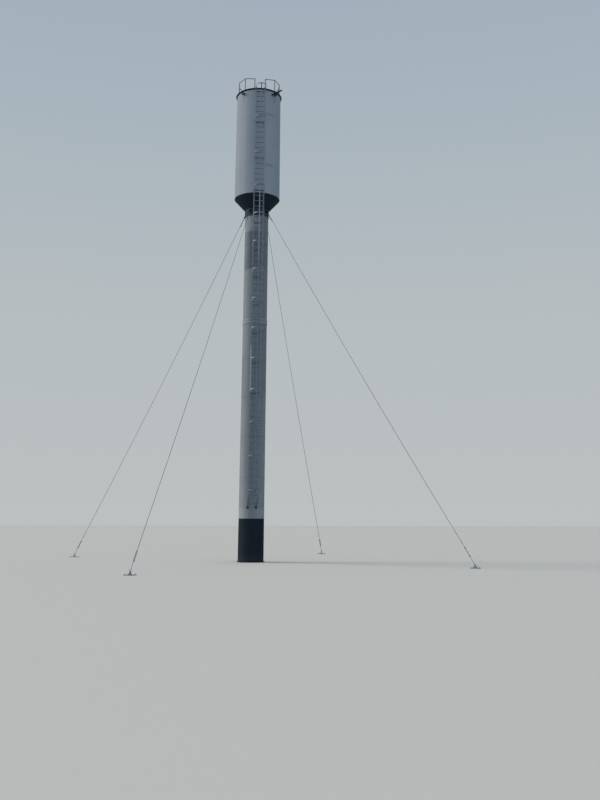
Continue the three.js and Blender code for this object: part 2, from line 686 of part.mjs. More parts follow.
// A screw right through, two nuts on it and two side bars between the nuts
function turnbuckle(start, along) {
  const at = (distance) => start.clone().addScaledVector(along, distance);
  const level = new THREE.Vector3(0, 0, 1).cross(along).normalize();
  const lowerNutEnd = TURNBUCKLE_BODY_START + NUT_LENGTH;
  const upperNutStart = TURNBUCKLE_BODY_END - NUT_LENGTH;
  const pieces = [
    rod(at(-WELD_OVERLAP), at(TURNBUCKLE_LENGTH), SCREW_RADIUS, TURNBUCKLE_SIDES),
    rod(at(TURNBUCKLE_BODY_START), at(lowerNutEnd), NUT_RADIUS, TURNBUCKLE_SIDES),
    rod(at(upperNutStart), at(TURNBUCKLE_BODY_END), NUT_RADIUS, TURNBUCKLE_SIDES),
  ];
  [-1, 1].forEach((side) => {
    const shift = level.clone().multiplyScalar(side * SIDE_BAR_OFFSET);
    const from = at(lowerNutEnd - NUT_LENGTH / 2).add(shift);
    const to = at(upperNutStart + NUT_LENGTH / 2).add(shift);
    pieces.push(rod(from, to, SIDE_BAR_RADIUS, TURNBUCKLE_SIDES));
  });
  return pieces;
}

function buildGuys() {
  GUY_LUG_AZIMUTHS.forEach((lugAzimuth, i) => {
    const anchorAzimuth = GUY_ANCHOR_AZIMUTHS[i];
    const topEye = polar(GUY_LUG_REACH, lugAzimuth, GUY_LUG_HEIGHT);
    const groundEye = polar(GUY_ANCHOR_RADIUS, anchorAzimuth, ANCHOR_EYE_HEIGHT);
    const down = groundEye.clone().sub(topEye).normalize();
    const up = down.clone().negate();
    const topRing = hookRing(topEye, down, lugAzimuth);
    const groundRing = hookRing(groundEye, up, anchorAzimuth);
    const screwTop = groundRing.farSide.clone().addScaledVector(up, TURNBUCKLE_LENGTH);
    const ropeEnd = screwTop.clone().addScaledVector(up, SEAT_GAP);
    const number = i + 1;
    const tensioner = joined([groundRing.geometry, ...turnbuckle(groundRing.farSide, up)]);
    addPart(`guy_lug_${number}`, guyLug(lugAzimuth), 'darkCoat');
    addPart(`guy_rope_${number}`, joined([topRing.geometry, ropeTube(topRing.farSide, ropeEnd)]), 'rope');
    addPart(`guy_turnbuckle_${number}`, tensioner, 'zinc');
    addPart(`guy_anchor_${number}`, guyAnchor(anchorAzimuth), 'zinc');
  });
}

buildColumn();
buildTankShell();
buildRoof();
addPart('guard_rail_left', guardRailHalf(-1), 'railPaint');
addPart('guard_rail_right', guardRailHalf(1), 'railPaint');
buildLadder();
addPart('lifting_trunnion_left', trunnion(LEFT_TRUNNION_AZIMUTH), 'darkCoat');
addPart('lifting_trunnion_right', trunnion(RIGHT_TRUNNION_AZIMUTH), 'darkCoat');
addPart('overflow_pipe', overflowPipe(), 'darkCoat');
buildGuys();

export default tower;
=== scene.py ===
import math
import bpy
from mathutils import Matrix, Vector


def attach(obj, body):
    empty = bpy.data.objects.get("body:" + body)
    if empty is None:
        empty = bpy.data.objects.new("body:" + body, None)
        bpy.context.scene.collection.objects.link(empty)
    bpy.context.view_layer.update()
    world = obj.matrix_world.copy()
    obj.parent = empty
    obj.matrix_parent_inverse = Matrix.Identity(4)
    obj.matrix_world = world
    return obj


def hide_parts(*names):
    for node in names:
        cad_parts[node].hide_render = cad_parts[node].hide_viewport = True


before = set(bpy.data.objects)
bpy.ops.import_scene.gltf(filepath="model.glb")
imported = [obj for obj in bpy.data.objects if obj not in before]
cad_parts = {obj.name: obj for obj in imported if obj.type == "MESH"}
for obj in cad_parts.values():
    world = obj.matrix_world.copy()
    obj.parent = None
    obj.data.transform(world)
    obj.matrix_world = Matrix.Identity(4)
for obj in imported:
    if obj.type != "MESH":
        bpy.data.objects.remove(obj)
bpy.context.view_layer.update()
print("frame loaded:", len(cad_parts), "nodes")

# camera

cameraView = {
    "place": (-2.03, -35.99, 1.60),
    "pitch": 107.4,
    "roll": -0.12,
    "heading": -6.322,
    "lens": 38.7,
    "shiftY": -0.1875,
    "farthest": 600.0,
}

cameraData = bpy.data.cameras.new("photoCamera")
cameraData.lens = cameraView["lens"]
cameraData.shift_y = cameraView["shiftY"]
cameraData.clip_end = cameraView["farthest"]
camera = bpy.data.objects.new("photoCamera", cameraData)
camera.location = cameraView["place"]
camera.rotation_euler = [math.radians(cameraView[turn]) for turn in ("pitch", "roll", "heading")]
bpy.context.scene.collection.objects.link(camera)
bpy.context.scene.camera = camera


# shader wires

class Wire:
    # one output of a node; sums on it add the nodes they need
    def __init__(self, recipe, socket):
        self.recipe = recipe
        self.socket = socket

    def maths(self, operation, first, second):
        return self.recipe.node("ShaderNodeMath", {"operation": operation}, {0: first, 1: second})

    def __add__(self, other):
        return self.maths("ADD", self, other)

    def __sub__(self, other):
        return self.maths("SUBTRACT", self, other)

    def __rsub__(self, other):
        return self.maths("SUBTRACT", other, self)

    def __mul__(self, other):
        return self.maths("MULTIPLY", self, other)

    def __abs__(self):
        return self.maths("ABSOLUTE", self, 0.0)

    __radd__ = __add__
    __rmul__ = __mul__

    def higher(self, other):
        return self.maths("MAXIMUM", self, other)

    def rising(self, low, high):
        # 0 below low, 1 above high, soft between
        return self.recipe.node("ShaderNodeMapRange", {"interpolation_type": "SMOOTHSTEP"},
                                {"Value": self, "From Min": low, "From Max": high})

    def within(self, low, high, soft):
        # 1 from low to high, 0 outside
        return self.rising(low - soft, low + soft) * (1.0 - self.rising(high - soft, high + soft))

    def near(self, place, reach):
        # 1 at place, falling to 0 at reach either side
        return 1.0 - abs(self - place).rising(0.0, reach)


class Recipe:
    # the nodes of one material, or of the world
    def __init__(self, owner, coordinates="Object"):
        owner.use_nodes = True
        self.owner = owner
        self.nodes = owner.node_tree.nodes
        self.links = owner.node_tree.links
        self.place = self.node("ShaderNodeTexCoord", {}, {}, coordinates)
        parts = self.node("ShaderNodeSeparateXYZ", {}, {"Vector": self.place})
        self.x, self.y, self.z = [Wire(self, socket) for socket in parts.socket.node.outputs]

    def node(self, kind, settings, sockets, output=0):
        made = self.nodes.new(kind)
        for name, value in settings.items():
            if name == "stops":
                while len(made.color_ramp.elements) < len(value):
                    made.color_ramp.elements.new(0.5)
                for stop, (where, tone) in zip(made.color_ramp.elements, value):
                    stop.position = where
                    stop.color = (*tone, 1.0)
            else:
                setattr(made, name, value)
        for name, value in sockets.items():
            if isinstance(value, Wire):
                self.links.new(value.socket, made.inputs[name])
            else:
                made.inputs[name].default_value = value
        return Wire(self, made.outputs[output])

    def noise(self, scale, detail=3.0, roughness=0.55, stretch=(1.0, 1.0, 1.0)):
        where = self.node("ShaderNodeMapping", {}, {"Vector": self.place, "Scale": stretch})
        return self.node("ShaderNodeTexNoise", {}, {"Vector": where, "Scale": scale, "Detail": detail,
                                                    "Roughness": roughness})

    def cells(self, scale):
        # a colour of its own for every grain
        return self.node("ShaderNodeTexVoronoi", {}, {"Vector": self.place, "Scale": scale}, "Color")

    def mixed(self, share, first, second):
        first, second = [tone if isinstance(tone, Wire) else (*tone, 1.0) for tone in (first, second)]
        return self.node("ShaderNodeMix", {"data_type": "RGBA"}, {0: share, 6: first, 7: second}, 2)

    def finished(self, colour, roughness, relief, depth, metallic=0.0, specular=0.5):
        # colour, roughness and relief vary; the rest is the same all over
        inputs = self.nodes["Principled BSDF"].inputs
        bump = self.node("ShaderNodeBump", {}, {"Height": relief, "Distance": depth})
        for name, value in {"Base Color": colour, "Roughness": roughness, "Normal": bump}.items():
            self.links.new(value.socket, inputs[name])
        inputs["Metallic"].default_value = metallic
        inputs["Specular IOR Level"].default_value = specular
        return self.owner


# paints

seamReach = 0.022  # how far the soiling spreads either side of a seam


def paleShellPaint(name, look):
    # pale grey enamel on rolled plate: dirt runs, soft blotches, a soiled line at each seam
    recipe = Recipe(bpy.data.materials.new(name))
    runs = recipe.noise(1.0, 5.0, 0.62, (11.0, 11.0, 0.22))
    fineRuns = recipe.noise(1.0, 4.0, 0.6, (46.0, 46.0, 0.8))
    blotches = recipe.noise(1.3, 6.0, 0.6)
    grain = recipe.noise(90.0, 3.0, 0.6)
    fromTop = look["top"] - recipe.z
    tone = recipe.mixed(runs.rising(0.38, 0.72) * look["streaky"], look["pale"], look["soiled"])
    tone = recipe.mixed(blotches.rising(0.42, 0.75) * look["blotchy"], tone, look["soiled"])
    for low, high, soft, left, right, share, colour in look["bands"]:
        where = recipe.z.within(low, high, soft) * recipe.x.within(left, right, 0.12)
        tone = recipe.mixed(where * (share * (0.8 + 0.4 * blotches)), tone, colour)
    # front-only stains and drips, and patches of painted shade and painted light
    for low, high, x, reach, share, colour in look["stainsAndPaintedShading"]:
        where = recipe.z.within(low, high, (high - low) * 0.3) * recipe.x.near(x, reach)
        front = 1.0 - recipe.y.rising(-0.1, 0.1)
        tone = recipe.mixed(where * front * (share * (0.5 + fineRuns)), tone, colour)
    wept = (1.0 - fromTop.rising(0.0, look["weep"])) * fineRuns.rising(0.44, 0.68)
    tone = recipe.mixed(wept * look["wept"], tone, look["dirt"])
    line = recipe.z.near(look["top"], seamReach).higher(recipe.z.near(look["bottom"], seamReach))
    tone = recipe.mixed(line * (look["seam"] * (0.6 + 0.8 * blotches)), tone, look["dirt"])
    specks = recipe.noise(38.0, 2.0, 0.5).rising(0.70, 0.76)
    tone = recipe.mixed(specks * 0.8, tone, look["rust"])
    tone = recipe.mixed(grain.rising(0.3, 0.7) * 0.12, tone, look["dirt"])
    roughness = 0.52 + 0.18 * runs + 0.12 * blotches
    relief = blotches * 0.8 + grain * 0.06 + specks * 0.12
    return recipe.finished(tone, roughness, relief, 0.004, specular=0.3)


def darkCoatPaint(name, look):
    # blue-black bitumen coat: dusty, scuffed, brush marks that run down
    recipe = Recipe(bpy.data.materials.new(name))
    brush = recipe.noise(1.0, 5.0, 0.65, (26.0, 26.0, 1.6))
    dust = recipe.noise(2.3, 7.0, 0.62)
    scuffs = recipe.noise(14.0, 5.0, 0.7)
    grain = recipe.noise(160.0, 2.0, 0.5)
    tone = recipe.mixed(brush.rising(0.35, 0.7), look["coat"], look["worn"])
    tone = recipe.mixed(dust.rising(0.5, 0.78) * look["dusty"], tone, look["dust"])
    chips = scuffs.rising(0.68, 0.74)
    tone = recipe.mixed(chips * 0.6, tone, look["rust"])
    low = 1.0 - recipe.z.rising(look["splashTop"] * 0.15, look["splashTop"])
    tone = recipe.mixed(low * (0.2 + 0.5 * dust), tone, look["dust"])
    roughness = 0.62 + 0.2 * dust + 0.1 * brush
    relief = brush * 0.5 + chips * -0.3 + grain * 0.1
    return recipe.finished(tone, roughness, relief, 0.0015, specular=look["specular"])


def barPaint(name, look):
    # brushed-on paint over small bars: thin spots, rust in specks and at the joints, and painted shade over a
    # bar's right-hand side
    recipe = Recipe(bpy.data.materials.new(name))
    patches = recipe.noise(9.0, 5.0, 0.6)
    grain = recipe.noise(220.0, 2.0, 0.5)
    runs = recipe.noise(1.0, 4.0, 0.6, (60.0, 60.0, 3.0))
    tone = recipe.mixed(patches.rising(0.4, 0.72), look["coat"], look["soiled"])
    rust = recipe.noise(26.0, 6.0, 0.7).rising(0.60, 0.70)
    tone = recipe.mixed(rust * look["rusty"], tone, look["rust"])
    tone = recipe.mixed(runs.rising(0.5, 0.75) * 0.3, tone, look["soiled"])
    for low, high, soft, share, colour in look["stretches"]:
        tone = recipe.mixed(recipe.z.within(low, high, soft) * share, tone, colour)
    # painted shade: the right-hand side of the bar darker than its lit left
    for left, right, share, colour in look["sides"]:
        tone = recipe.mixed(recipe.x.rising(left, right) * share, tone, colour)
    roughness = look["dullness"] + 0.25 * patches
    relief = grain * 0.25 + patches * 0.6 + rust * 0.4
    return recipe.finished(tone, roughness, relief, 0.0008, specular=look["specular"])


def zincPaint(name, look):
    # dull galvanized steel: spangle, white bloom, brown in the hollows
    recipe = Recipe(bpy.data.materials.new(name))
    spangle = recipe.cells(look["spangle"])
    glint = recipe.node("ShaderNodeSeparateColor", {}, {"Color": spangle})
    bloom = recipe.noise(7.0, 6.0, 0.65)
    grain = recipe.noise(300.0, 2.0, 0.5)
    tone = recipe.mixed(glint, look["zinc"], look["bright"])
    tone = recipe.mixed(bloom.rising(0.48, 0.72) * 0.6, tone, look["bloom"])
    stain = recipe.noise(19.0, 5.0, 0.7).rising(0.60, 0.74)
    tone = recipe.mixed(stain * look["stained"], tone, look["rust"])
    roughness = 0.34 + 0.2 * glint + 0.25 * bloom
    relief = glint * 0.15 + grain * 0.3 + bloom * 0.4
    return recipe.finished(tone, roughness, relief, 0.0006, look["metallic"])


rustTone = (0.105, 0.047, 0.022)
coatLook = {
    "coat": (0.018, 0.025, 0.034),
    "worn": (0.026, 0.034, 0.045),
    "dust": (0.052, 0.058, 0.065),
    "rust": (0.040, 0.024, 0.016),
    "dusty": 0.22,
    "splashTop": 0.4,
    "specular": 0.08,
}
darkCoat = darkCoatPaint("darkCoat", coatLook)
collarLook = {**coatLook, "coat": (0.050, 0.062, 0.075), "worn": (0.065, 0.078, 0.090)}
collarPaint = darkCoatPaint("collarPaint", collarLook)
fittingLook = {**coatLook, "coat": (0.055, 0.066, 0.070), "worn": (0.080, 0.092, 0.095)}
fittingPaint = darkCoatPaint("fittingPaint", fittingLook)
# stretches, between two heights: low, high, softness, share and colour
# sides, painted shade towards the right: where the shade starts, where it is full, share and colour
ladderLook = {
    "coat": (0.290, 0.325, 0.360),
    "soiled": (0.200, 0.220, 0.240),
    "rust": rustTone,
    "rusty": 0.45,
    "dullness": 0.45,
    "specular": 0.4,
    "stretches": [],
    "sides": [],
}
aboveAll = 21.0
# painted shade: the stiles' heads and the top of the cage darkened near the rim, where they sit in shade
paintedHeadShade = (0.030, 0.036, 0.044)
hoopTone = (0.190, 0.212, 0.236)
# painted shade: the rungs' tone where they sit in shade in front of the column and on the tank
paintedRungShade = (0.060, 0.069, 0.080)
stileStretches = [
    (14.28, 15.13, 0.03, 0.90, (0.205, 0.230, 0.255)),
    (15.30, aboveAll, 0.15, 0.85, (0.330, 0.362, 0.394)),
    (20.11, aboveAll, 0.02, 0.90, paintedHeadShade),
]
# painted light: the left stile lighter between these heights, where the light from the left falls on it, so
# the two stile paints are a lit and a shaded copy
paintedLightStretch = (6.55, 8.40, 0.12, 0.85, (0.600, 0.640, 0.660))
stilePaints = {
    -1: barPaint("leftStilePaint", {**ladderLook, "stretches": [paintedLightStretch] + stileStretches}),
    1: barPaint("rightStilePaint", {**ladderLook, "stretches": stileStretches}),
}
# rungs: darkened with painted shade in front of the column and on the tank
rungLook = {
    **ladderLook,
    "coat": (0.170, 0.188, 0.206),
    "soiled": (0.120, 0.134, 0.148),
    "stretches": [
        (10.30, 13.90, 0.30, 0.80, paintedRungShade),
        (15.15, aboveAll, 0.03, 0.85, paintedRungShade),
        (14.16, 15.12, 0.03, 0.85, (0.330, 0.365, 0.395)),
    ],
}
rungPaint = barPaint("rungPaint", rungLook)
frontStripLook = {
    **ladderLook,
    "coat": (0.270, 0.295, 0.320),
    "rusty": 0.30,
    "stretches": [
        (12.00, 14.83, 0.30, 0.90, (0.430, 0.470, 0.510)),
        (14.83, aboveAll, 0.04, 0.85, (0.318, 0.346, 0.374)),
        (19.69, aboveAll, 0.015, 0.92, paintedHeadShade),
    ],
}
frontStripPaint = barPaint("frontStripPaint", frontStripLook)
# side strips: a dark coat as painted shade, so their inner faces stay dim where the light from the left falls
# on them
sideStripShadeLook = {
    **ladderLook,
    "coat": (0.120, 0.132, 0.145),
    "soiled": (0.090, 0.100, 0.110),
    "rusty": 0.30,
    "stretches": [
        (14.83, aboveAll, 0.04, 0.85, (0.240, 0.264, 0.290)),
        (19.69, aboveAll, 0.015, 0.92, paintedHeadShade),
    ],
}
sideStripShadePaint = barPaint("sideStripShadePaint", sideStripShadeLook)
# hoops: the pale coat is a painted highlight on their lit left, and the side turns the rest dimmer with
# painted shade
hoopLook = {
    **ladderLook,
    "coat": (0.430, 0.470, 0.510),
    "soiled": (0.310, 0.335, 0.360),
    "rusty": 0.30,
    "stretches": [(0.0, 6.0, 0.1, 0.85, (0.165, 0.180, 0.196)), (15.0, aboveAll, 0.1, 0.85, hoopTone)],
    "sides": [(-0.19, -0.06, 0.75, (0.200, 0.220, 0.240))],
}
hoopPaint = barPaint("hoopPaint", hoopLook)
bracketLook = {
    **ladderLook,
    "coat": (0.190, 0.210, 0.230),
    "soiled": (0.130, 0.145, 0.160),
    "rusty": 0.12,
    "dullness": 0.65,
    "specular": 0.08,
    # painted shade: the bracket's right arm darker than its left
    "sides": [(-0.02, 0.08, 0.85, (0.060, 0.069, 0.078))],
}
bracketPaint = barPaint("bracketPaint", bracketLook)
paleBracketLook = {
    **bracketLook,
    "coat": (0.330, 0.360, 0.390),
    "soiled": (0.230, 0.252, 0.274),
    # painted shade: the pale bracket's right arm darker too
    "sides": [(0.02, 0.12, 0.80, (0.130, 0.144, 0.158))],
}
paleBracketPaint = barPaint("paleBracketPaint", paleBracketLook)
footLook = {
    **bracketLook,
    "soiled": (0.140, 0.155, 0.170),
    "stretches": [(1.99, 2.10, 0.02, 0.80, (0.086, 0.097, 0.108))],
    "sides": [],
}
footPaint = barPaint("footPaint", footLook)
railLook = {**ladderLook, "coat": (0.290, 0.325, 0.365), "soiled": (0.200, 0.225, 0.250)}
railPaint = barPaint("railPaint", railLook)
zincLook = {
    "zinc": (0.30, 0.32, 0.34),
    "bright": (0.46, 0.49, 0.51),
    "bloom": (0.52, 0.54, 0.54),
    "rust": rustTone,
    "stained": 0.45,
    "spangle": 90.0,
    "metallic": 0.55,
}
zincSteel = zincPaint("zincSteel", zincLook)
ropeLook = {
    **zincLook,
    "zinc": (0.060, 0.066, 0.072),
    "bright": (0.105, 0.114, 0.122),
    "bloom": (0.140, 0.147, 0.154),
}
ropeSteel = zincPaint("ropeSteel", ropeLook)
print("paints mixed")

# bench: what every piece is made with

weldRipple = bpy.data.textures.new("weldRipple", "CLOUDS")
weldRipple.noise_scale = 0.02
smoothAngle = math.radians(32.0)
bevelAngle = math.radians(40.0)
upward, rightward = (0.0, 0.0, 1.0), (1.0, 0.0, 0.0)


def deselectAll():
    bpy.ops.object.select_all(action="DESELECT")


def onlySelect(part):
    deselectAll()
    part.select_set(True)
    bpy.context.view_layer.objects.active = part


def settled():
    # the active object's place goes into its mesh
    bpy.ops.object.transform_apply(location=True, rotation=True, scale=True)
    return bpy.context.active_object


def modified(part, kind, **settings):
    onlySelect(part)
    bpy.ops.object.modifier_add(type=kind)
    modifier = part.modifiers[-1]
    for name, value in settings.items():
        setattr(modifier, name, value)
    bpy.ops.object.modifier_apply(modifier=modifier.name)
    return part


def bevelled(part, width):
    # one step, so that long plates keep an even shade up to their edges
    return modified(part, "BEVEL", width=width, segments=1, limit_method="ANGLE", angle_limit=bevelAngle)


def painted(part, paint):
    part.data.materials.clear()
    part.data.materials.append(paint)
    return part


def copied(part, turn=0.0, shift=(0.0, 0.0, 0.0)):
    # a copy with its own mesh, turned about the tower's axis and then shifted
    onlySelect(part)
    bpy.ops.object.duplicate(linked=False)
    return placed(bpy.context.active_object, turn, shift)


def placed(part, turn=0.0, shift=(0.0, 0.0, 0.0)):
    # turned about the tower's axis and then shifted
    onlySelect(part)
    part.rotation_euler = (0.0, 0.0, turn)
    part.location = shift
    return settled()


def allRound(parts, count):
    # the parts copied evenly round the tower's axis, with the first ones last
    copies = [copied(part, 2.0 * math.pi * i / count) for i in range(1, count) for part in parts]
    return copies + parts


def aimed(part, along, spot):
    # the part's own height turned along a line, and its foot put at a spot
    part.rotation_euler = Vector(upward).rotation_difference(Vector(along)).to_euler()
    part.location = spot
    onlySelect(part)
    return settled()


def rolledShell(radius, wall, bottom, top, sides, chamfer=0.0015):
    deselectAll()
    bpy.ops.mesh.primitive_cylinder_add(vertices=sides, radius=radius, depth=top - bottom,
                                        end_fill_type="NOTHING", location=(0.0, 0.0, (top + bottom) / 2))
    shell = settled()
    modified(shell, "SOLIDIFY", thickness=wall, offset=-1.0)
    return bevelled(shell, chamfer)


def weldRing(radius, height, size, sides):
    # a bead half sunk in the shell
    deselectAll()
    bpy.ops.mesh.primitive_torus_add(major_radius=radius, minor_radius=size, major_segments=sides,
                                     minor_segments=6, location=(0.0, 0.0, height))
    return modified(settled(), "DISPLACE", texture=weldRipple, texture_coords="LOCAL", strength=size * 0.7)


def emptyCurve(count):
    # a curve object with one line of this many points, still to be placed
    deselectAll()
    bpy.ops.curve.primitive_nurbs_path_add()
    curve = bpy.context.active_object
    curve.data.splines.clear()
    line = curve.data.splines.new("POLY")
    line.points.add(count - 1)
    return curve, line


def roundBar(points, radius, sides=8):
    # a bar of round section along its points
    bar, line = emptyCurve(len(points))
    for spot, point in zip(line.points, points):
        spot.co = (*point, 1.0)
    bar.data.bevel_depth = radius
    bar.data.bevel_resolution = max(0, sides // 2 - 2)
    bar.data.use_fill_caps = True
    bpy.ops.object.convert(target="MESH")
    bar = settled()
    bpy.ops.object.mode_set(mode="EDIT")
    bpy.ops.mesh.select_all(action="SELECT")
    bpy.ops.mesh.remove_doubles(threshold=0.00001)
    bpy.ops.object.mode_set(mode="OBJECT")
    return bar


def weldLine(start, end, size):
    # a straight bead, rippled along its length
    start, end = Vector(start), Vector(end)
    steps = max(3, int((end - start).length / 0.02))
    bead = roundBar([start.lerp(end, i / steps) for i in range(steps + 1)], size, 6)
    return modified(bead, "DISPLACE", texture=weldRipple, texture_coords="LOCAL", strength=size * 0.7)


def drawnLine(points):
    # vertices joined one after another, as drawn by hand
    deselectAll()
    bpy.ops.mesh.primitive_plane_add(size=0.01)
    bpy.ops.object.mode_set(mode="EDIT")
    bpy.ops.mesh.select_all(action="SELECT")
    bpy.ops.mesh.merge(type="CENTER")
    bpy.ops.mesh.select_mode(type="VERT")
    bpy.ops.mesh.select_all(action="SELECT")
    bpy.ops.transform.translate(value=points[0])
    for here, there in zip(points, points[1:]):
        step = Vector(there) - Vector(here)
        bpy.ops.mesh.extrude_vertices_move(TRANSFORM_OT_translate={"value": step})


def flatBar(points, rise, wall, chamfer=0.001):
    # a strip drawn along its points, raised and given its thickness
    drawnLine(points)
    bpy.ops.mesh.select_all(action="SELECT")
    bpy.ops.mesh.extrude_region_move(TRANSFORM_OT_translate={"value": rise})
    bpy.ops.object.mode_set(mode="OBJECT")
    bar = settled()
    modified(bar, "SOLIDIFY", thickness=wall, offset=0.0, use_even_offset=True)
    return bevelled(bar, chamfer)


def cutPlate(outline, thickness, chamfer=0.0015):
    # an outline filled and extruded to a plate, centred on its own plane
    drawnLine(outline)
    bpy.ops.mesh.select_all(action="SELECT")
    bpy.ops.mesh.edge_face_add()
    bpy.ops.object.mode_set(mode="OBJECT")
    part = settled()
    modified(part, "SOLIDIFY", thickness=thickness, offset=0.0)
    return bevelled(part, chamfer)


def drilled(part, drill):
    # a hole left by the drill, which is used up
    modified(part, "BOOLEAN", operation="DIFFERENCE", object=drill, solver="EXACT")
    bpy.data.objects.remove(drill)
    return part


def hexHead(radius, height, spot, along=upward):
    # a nut or bolt head with its corners eased
    deselectAll()
    bpy.ops.mesh.primitive_cylinder_add(vertices=6, radius=radius, depth=height)
    head = aimed(bpy.context.active_object, along, spot)
    return bevelled(head, radius * 0.12)


def onTower(name, node, parts, paint=None):
    # the parts become one piece that stands for its node, in one paint unless each part has its own
    if paint:
        for part in parts:
            painted(part, paint)
    deselectAll()
    for part in parts:
        part.select_set(True)
    bpy.context.view_layer.objects.active = parts[0]
    if len(parts) > 1:
        bpy.ops.object.join()
    piece = bpy.context.active_object
    piece.name = piece.data.name = name
    bpy.ops.object.shade_smooth_by_angle(angle=smoothAngle)
    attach(piece, "root")
    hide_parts(node)
    return piece


def polar(radius, azimuth, height=0.0):
    return Vector((radius * math.cos(azimuth), radius * math.sin(azimuth), height))


def arcAt(radius, middle, spread, steps, height):
    # points along an arc, as many steps to either side of its middle
    return [polar(radius, middle + spread * (i / steps - 1), height) for i in range(2 * steps + 1)]


def frontOf(radius, x):
    # how far forward a tube of this radius reaches at x
    return -math.sqrt(radius ** 2 - x ** 2)


def turnedPart(profile, sides, along=upward, spot=(0.0, 0.0, 0.0)):
    # a profile of (radius, height) spun on a lathe, then aimed and put in place
    drawnLine([(radius, 0.0, height) for radius, height in profile])
    bpy.ops.mesh.select_all(action="SELECT")
    bpy.ops.mesh.spin(steps=sides, angle=2.0 * math.pi, center=(0.0, 0.0, 0.0), axis=upward)
    bpy.ops.mesh.select_all(action="SELECT")
    bpy.ops.mesh.remove_doubles(threshold=0.00002)
    bpy.ops.mesh.normals_make_consistent(inside=False)
    bpy.ops.object.mode_set(mode="OBJECT")
    return aimed(bpy.context.active_object, along, spot)


def discProfile(radius, low, high):
    return [(0.0, low), (radius, low), (radius, high), (0.0, high)]


def threadProfile(core, crest, start, end, pitch):
    # a zigzag of threads between two heights, closed at both ends
    points = [(0.0, start), (core, start)]
    for i in range(int((end - start) / pitch)):
        points += [(crest, start + (i + 0.5) * pitch), (core, start + (i + 1.0) * pitch)]
    return points + [(0.0, points[-1][1])]


def rolledCourse(form, bottom, top, ringHeight, turn):
    # a shell, the bead round one of its ends and the straight bead where its plate closes
    edge = form["radius"] * form["proud"]
    low, high = [polar(edge, turn, z) for z in (bottom + form["beadGap"], top - form["beadGap"])]
    return [rolledShell(form["radius"], form["wall"], bottom, top, form["sides"]),
            weldRing(form["radius"], ringHeight, form["weld"], 2 * form["sides"]),
            weldLine(low, high, form["weld"])]


# column

column = {
    "radius": 0.510,
    "wall": 0.008,
    "sides": 96,
    "bottom": 0.020,
    "tops": [1.625, 3.224, 4.823, 6.422, 8.021, 9.620, 11.910, 14.330],
    "weld": 0.005,
    "beadGap": 0.004,
    "proud": 1.0004,
    "seamStart": 0.6,
    "seamTurn": 2.3,
}
shellLook = {
    "pale": (0.310, 0.326, 0.332),
    "soiled": (0.236, 0.252, 0.261),
    "dirt": (0.080, 0.085, 0.088),
    "rust": rustTone,
    "streaky": 0.6,
    "blotchy": 0.4,
    "weep": 0.5,
    "wept": 0.22,
    "seam": 0.20,
    "bands": [],
    # painted shade: the column's front behind the ladder and cage darker, where they shade it
    "stainsAndPaintedShading": [(1.0, 9.6, -0.05, 0.32, 0.75, (0.245, 0.260, 0.268))],
}
# what sets single courses apart; bands: low, high, softness, left, right, share and colour;
# stains and painted shading, on the front only: low, high, x, reach, share and colour
columnMarks = {
    8: {
        "bands": [
            (11.90, 13.605, 0.012, -1.0, 1.0, 0.85, (0.205, 0.224, 0.240)),
            (11.90, 13.605, 0.012, -0.44, -0.16, 0.70, (0.128, 0.142, 0.142)),
            (13.00, 13.05, 0.012, -1.0, 1.0, 0.5, (0.10, 0.11, 0.12)),
        ],
        "stainsAndPaintedShading": [
            # painted shade: the first stain darkens the column's right side
            (13.5, 14.4, 0.42, 0.30, 0.45, (0.19, 0.20, 0.21)),
            (13.75, 14.25, -0.12, 0.36, 0.85, (0.395, 0.415, 0.422)),
        ],
    },
    7: {
        # painted shade: the band darkens the right side of the course
        "bands": [(9.50, 12.00, 0.30, 0.22, 1.0, 0.30, (0.19, 0.20, 0.21))],
        "stainsAndPaintedShading": [(10.9, 11.8, -0.42, 0.14, 0.30, (0.22, 0.24, 0.16))],
    },
    # painted shade: courses 6 and 5 darker on their right side
    6: {"bands": [(8.00, 9.70, 0.20, 0.10, 1.0, 0.35, (0.19, 0.20, 0.21))]},
    5: {"bands": [(6.60, 8.10, 0.20, 0.10, 1.0, 0.35, (0.19, 0.20, 0.21))]},
    # painted light: courses 4, 3 and 2 paler the nearer they are to the ground, with a pale band at the foot
    # of course 2
    4: {"pale": (0.335, 0.350, 0.354), "soiled": (0.255, 0.270, 0.277)},
    3: {"pale": (0.345, 0.360, 0.364), "soiled": (0.262, 0.277, 0.284)},
    2: {
        "pale": (0.355, 0.370, 0.374),
        "soiled": (0.270, 0.285, 0.292),
        "bands": [(1.50, 2.02, 0.10, -1.0, 1.0, 0.6, (0.450, 0.462, 0.460))],
    },
}


def buildColumn():
    bottom = column["bottom"]
    for i, top in enumerate(column["tops"]):
        parts = rolledCourse(column, bottom, top, top, column["seamStart"] + column["seamTurn"] * i)
        name = f"columnCourse{i + 1}"
        if i == 0:
            onTower(name, "column_base_course", parts, darkCoat)
        else:
            look = {**shellLook, "bottom": bottom, "top": top, **columnMarks.get(i + 1, {})}
            paint = paleShellPaint(f"columnPaint{i + 1}", look)
            onTower(name, f"column_course_{i + 1}", parts, paint)
        bottom = top


basePlate = {
    "radius": 0.545,
    "thickness": 0.020,
    "sides": 96,
    "chamfer": 0.0025,
    "weld": 0.006,
    "weldOut": 0.002,
    "bolts": 16,
    "boltCircle": 0.529,
    "bolt": {"nutRadius": 0.013, "nutHeight": 0.011, "studRadius": 0.007, "studHeight": 0.019},
}
stud = {
    "washerReach": 1.25,
    "washerWall": 0.0025,
    "washerSides": 16,
    "core": 0.9,
    "pitch": 0.002,
    "sides": 10,
}


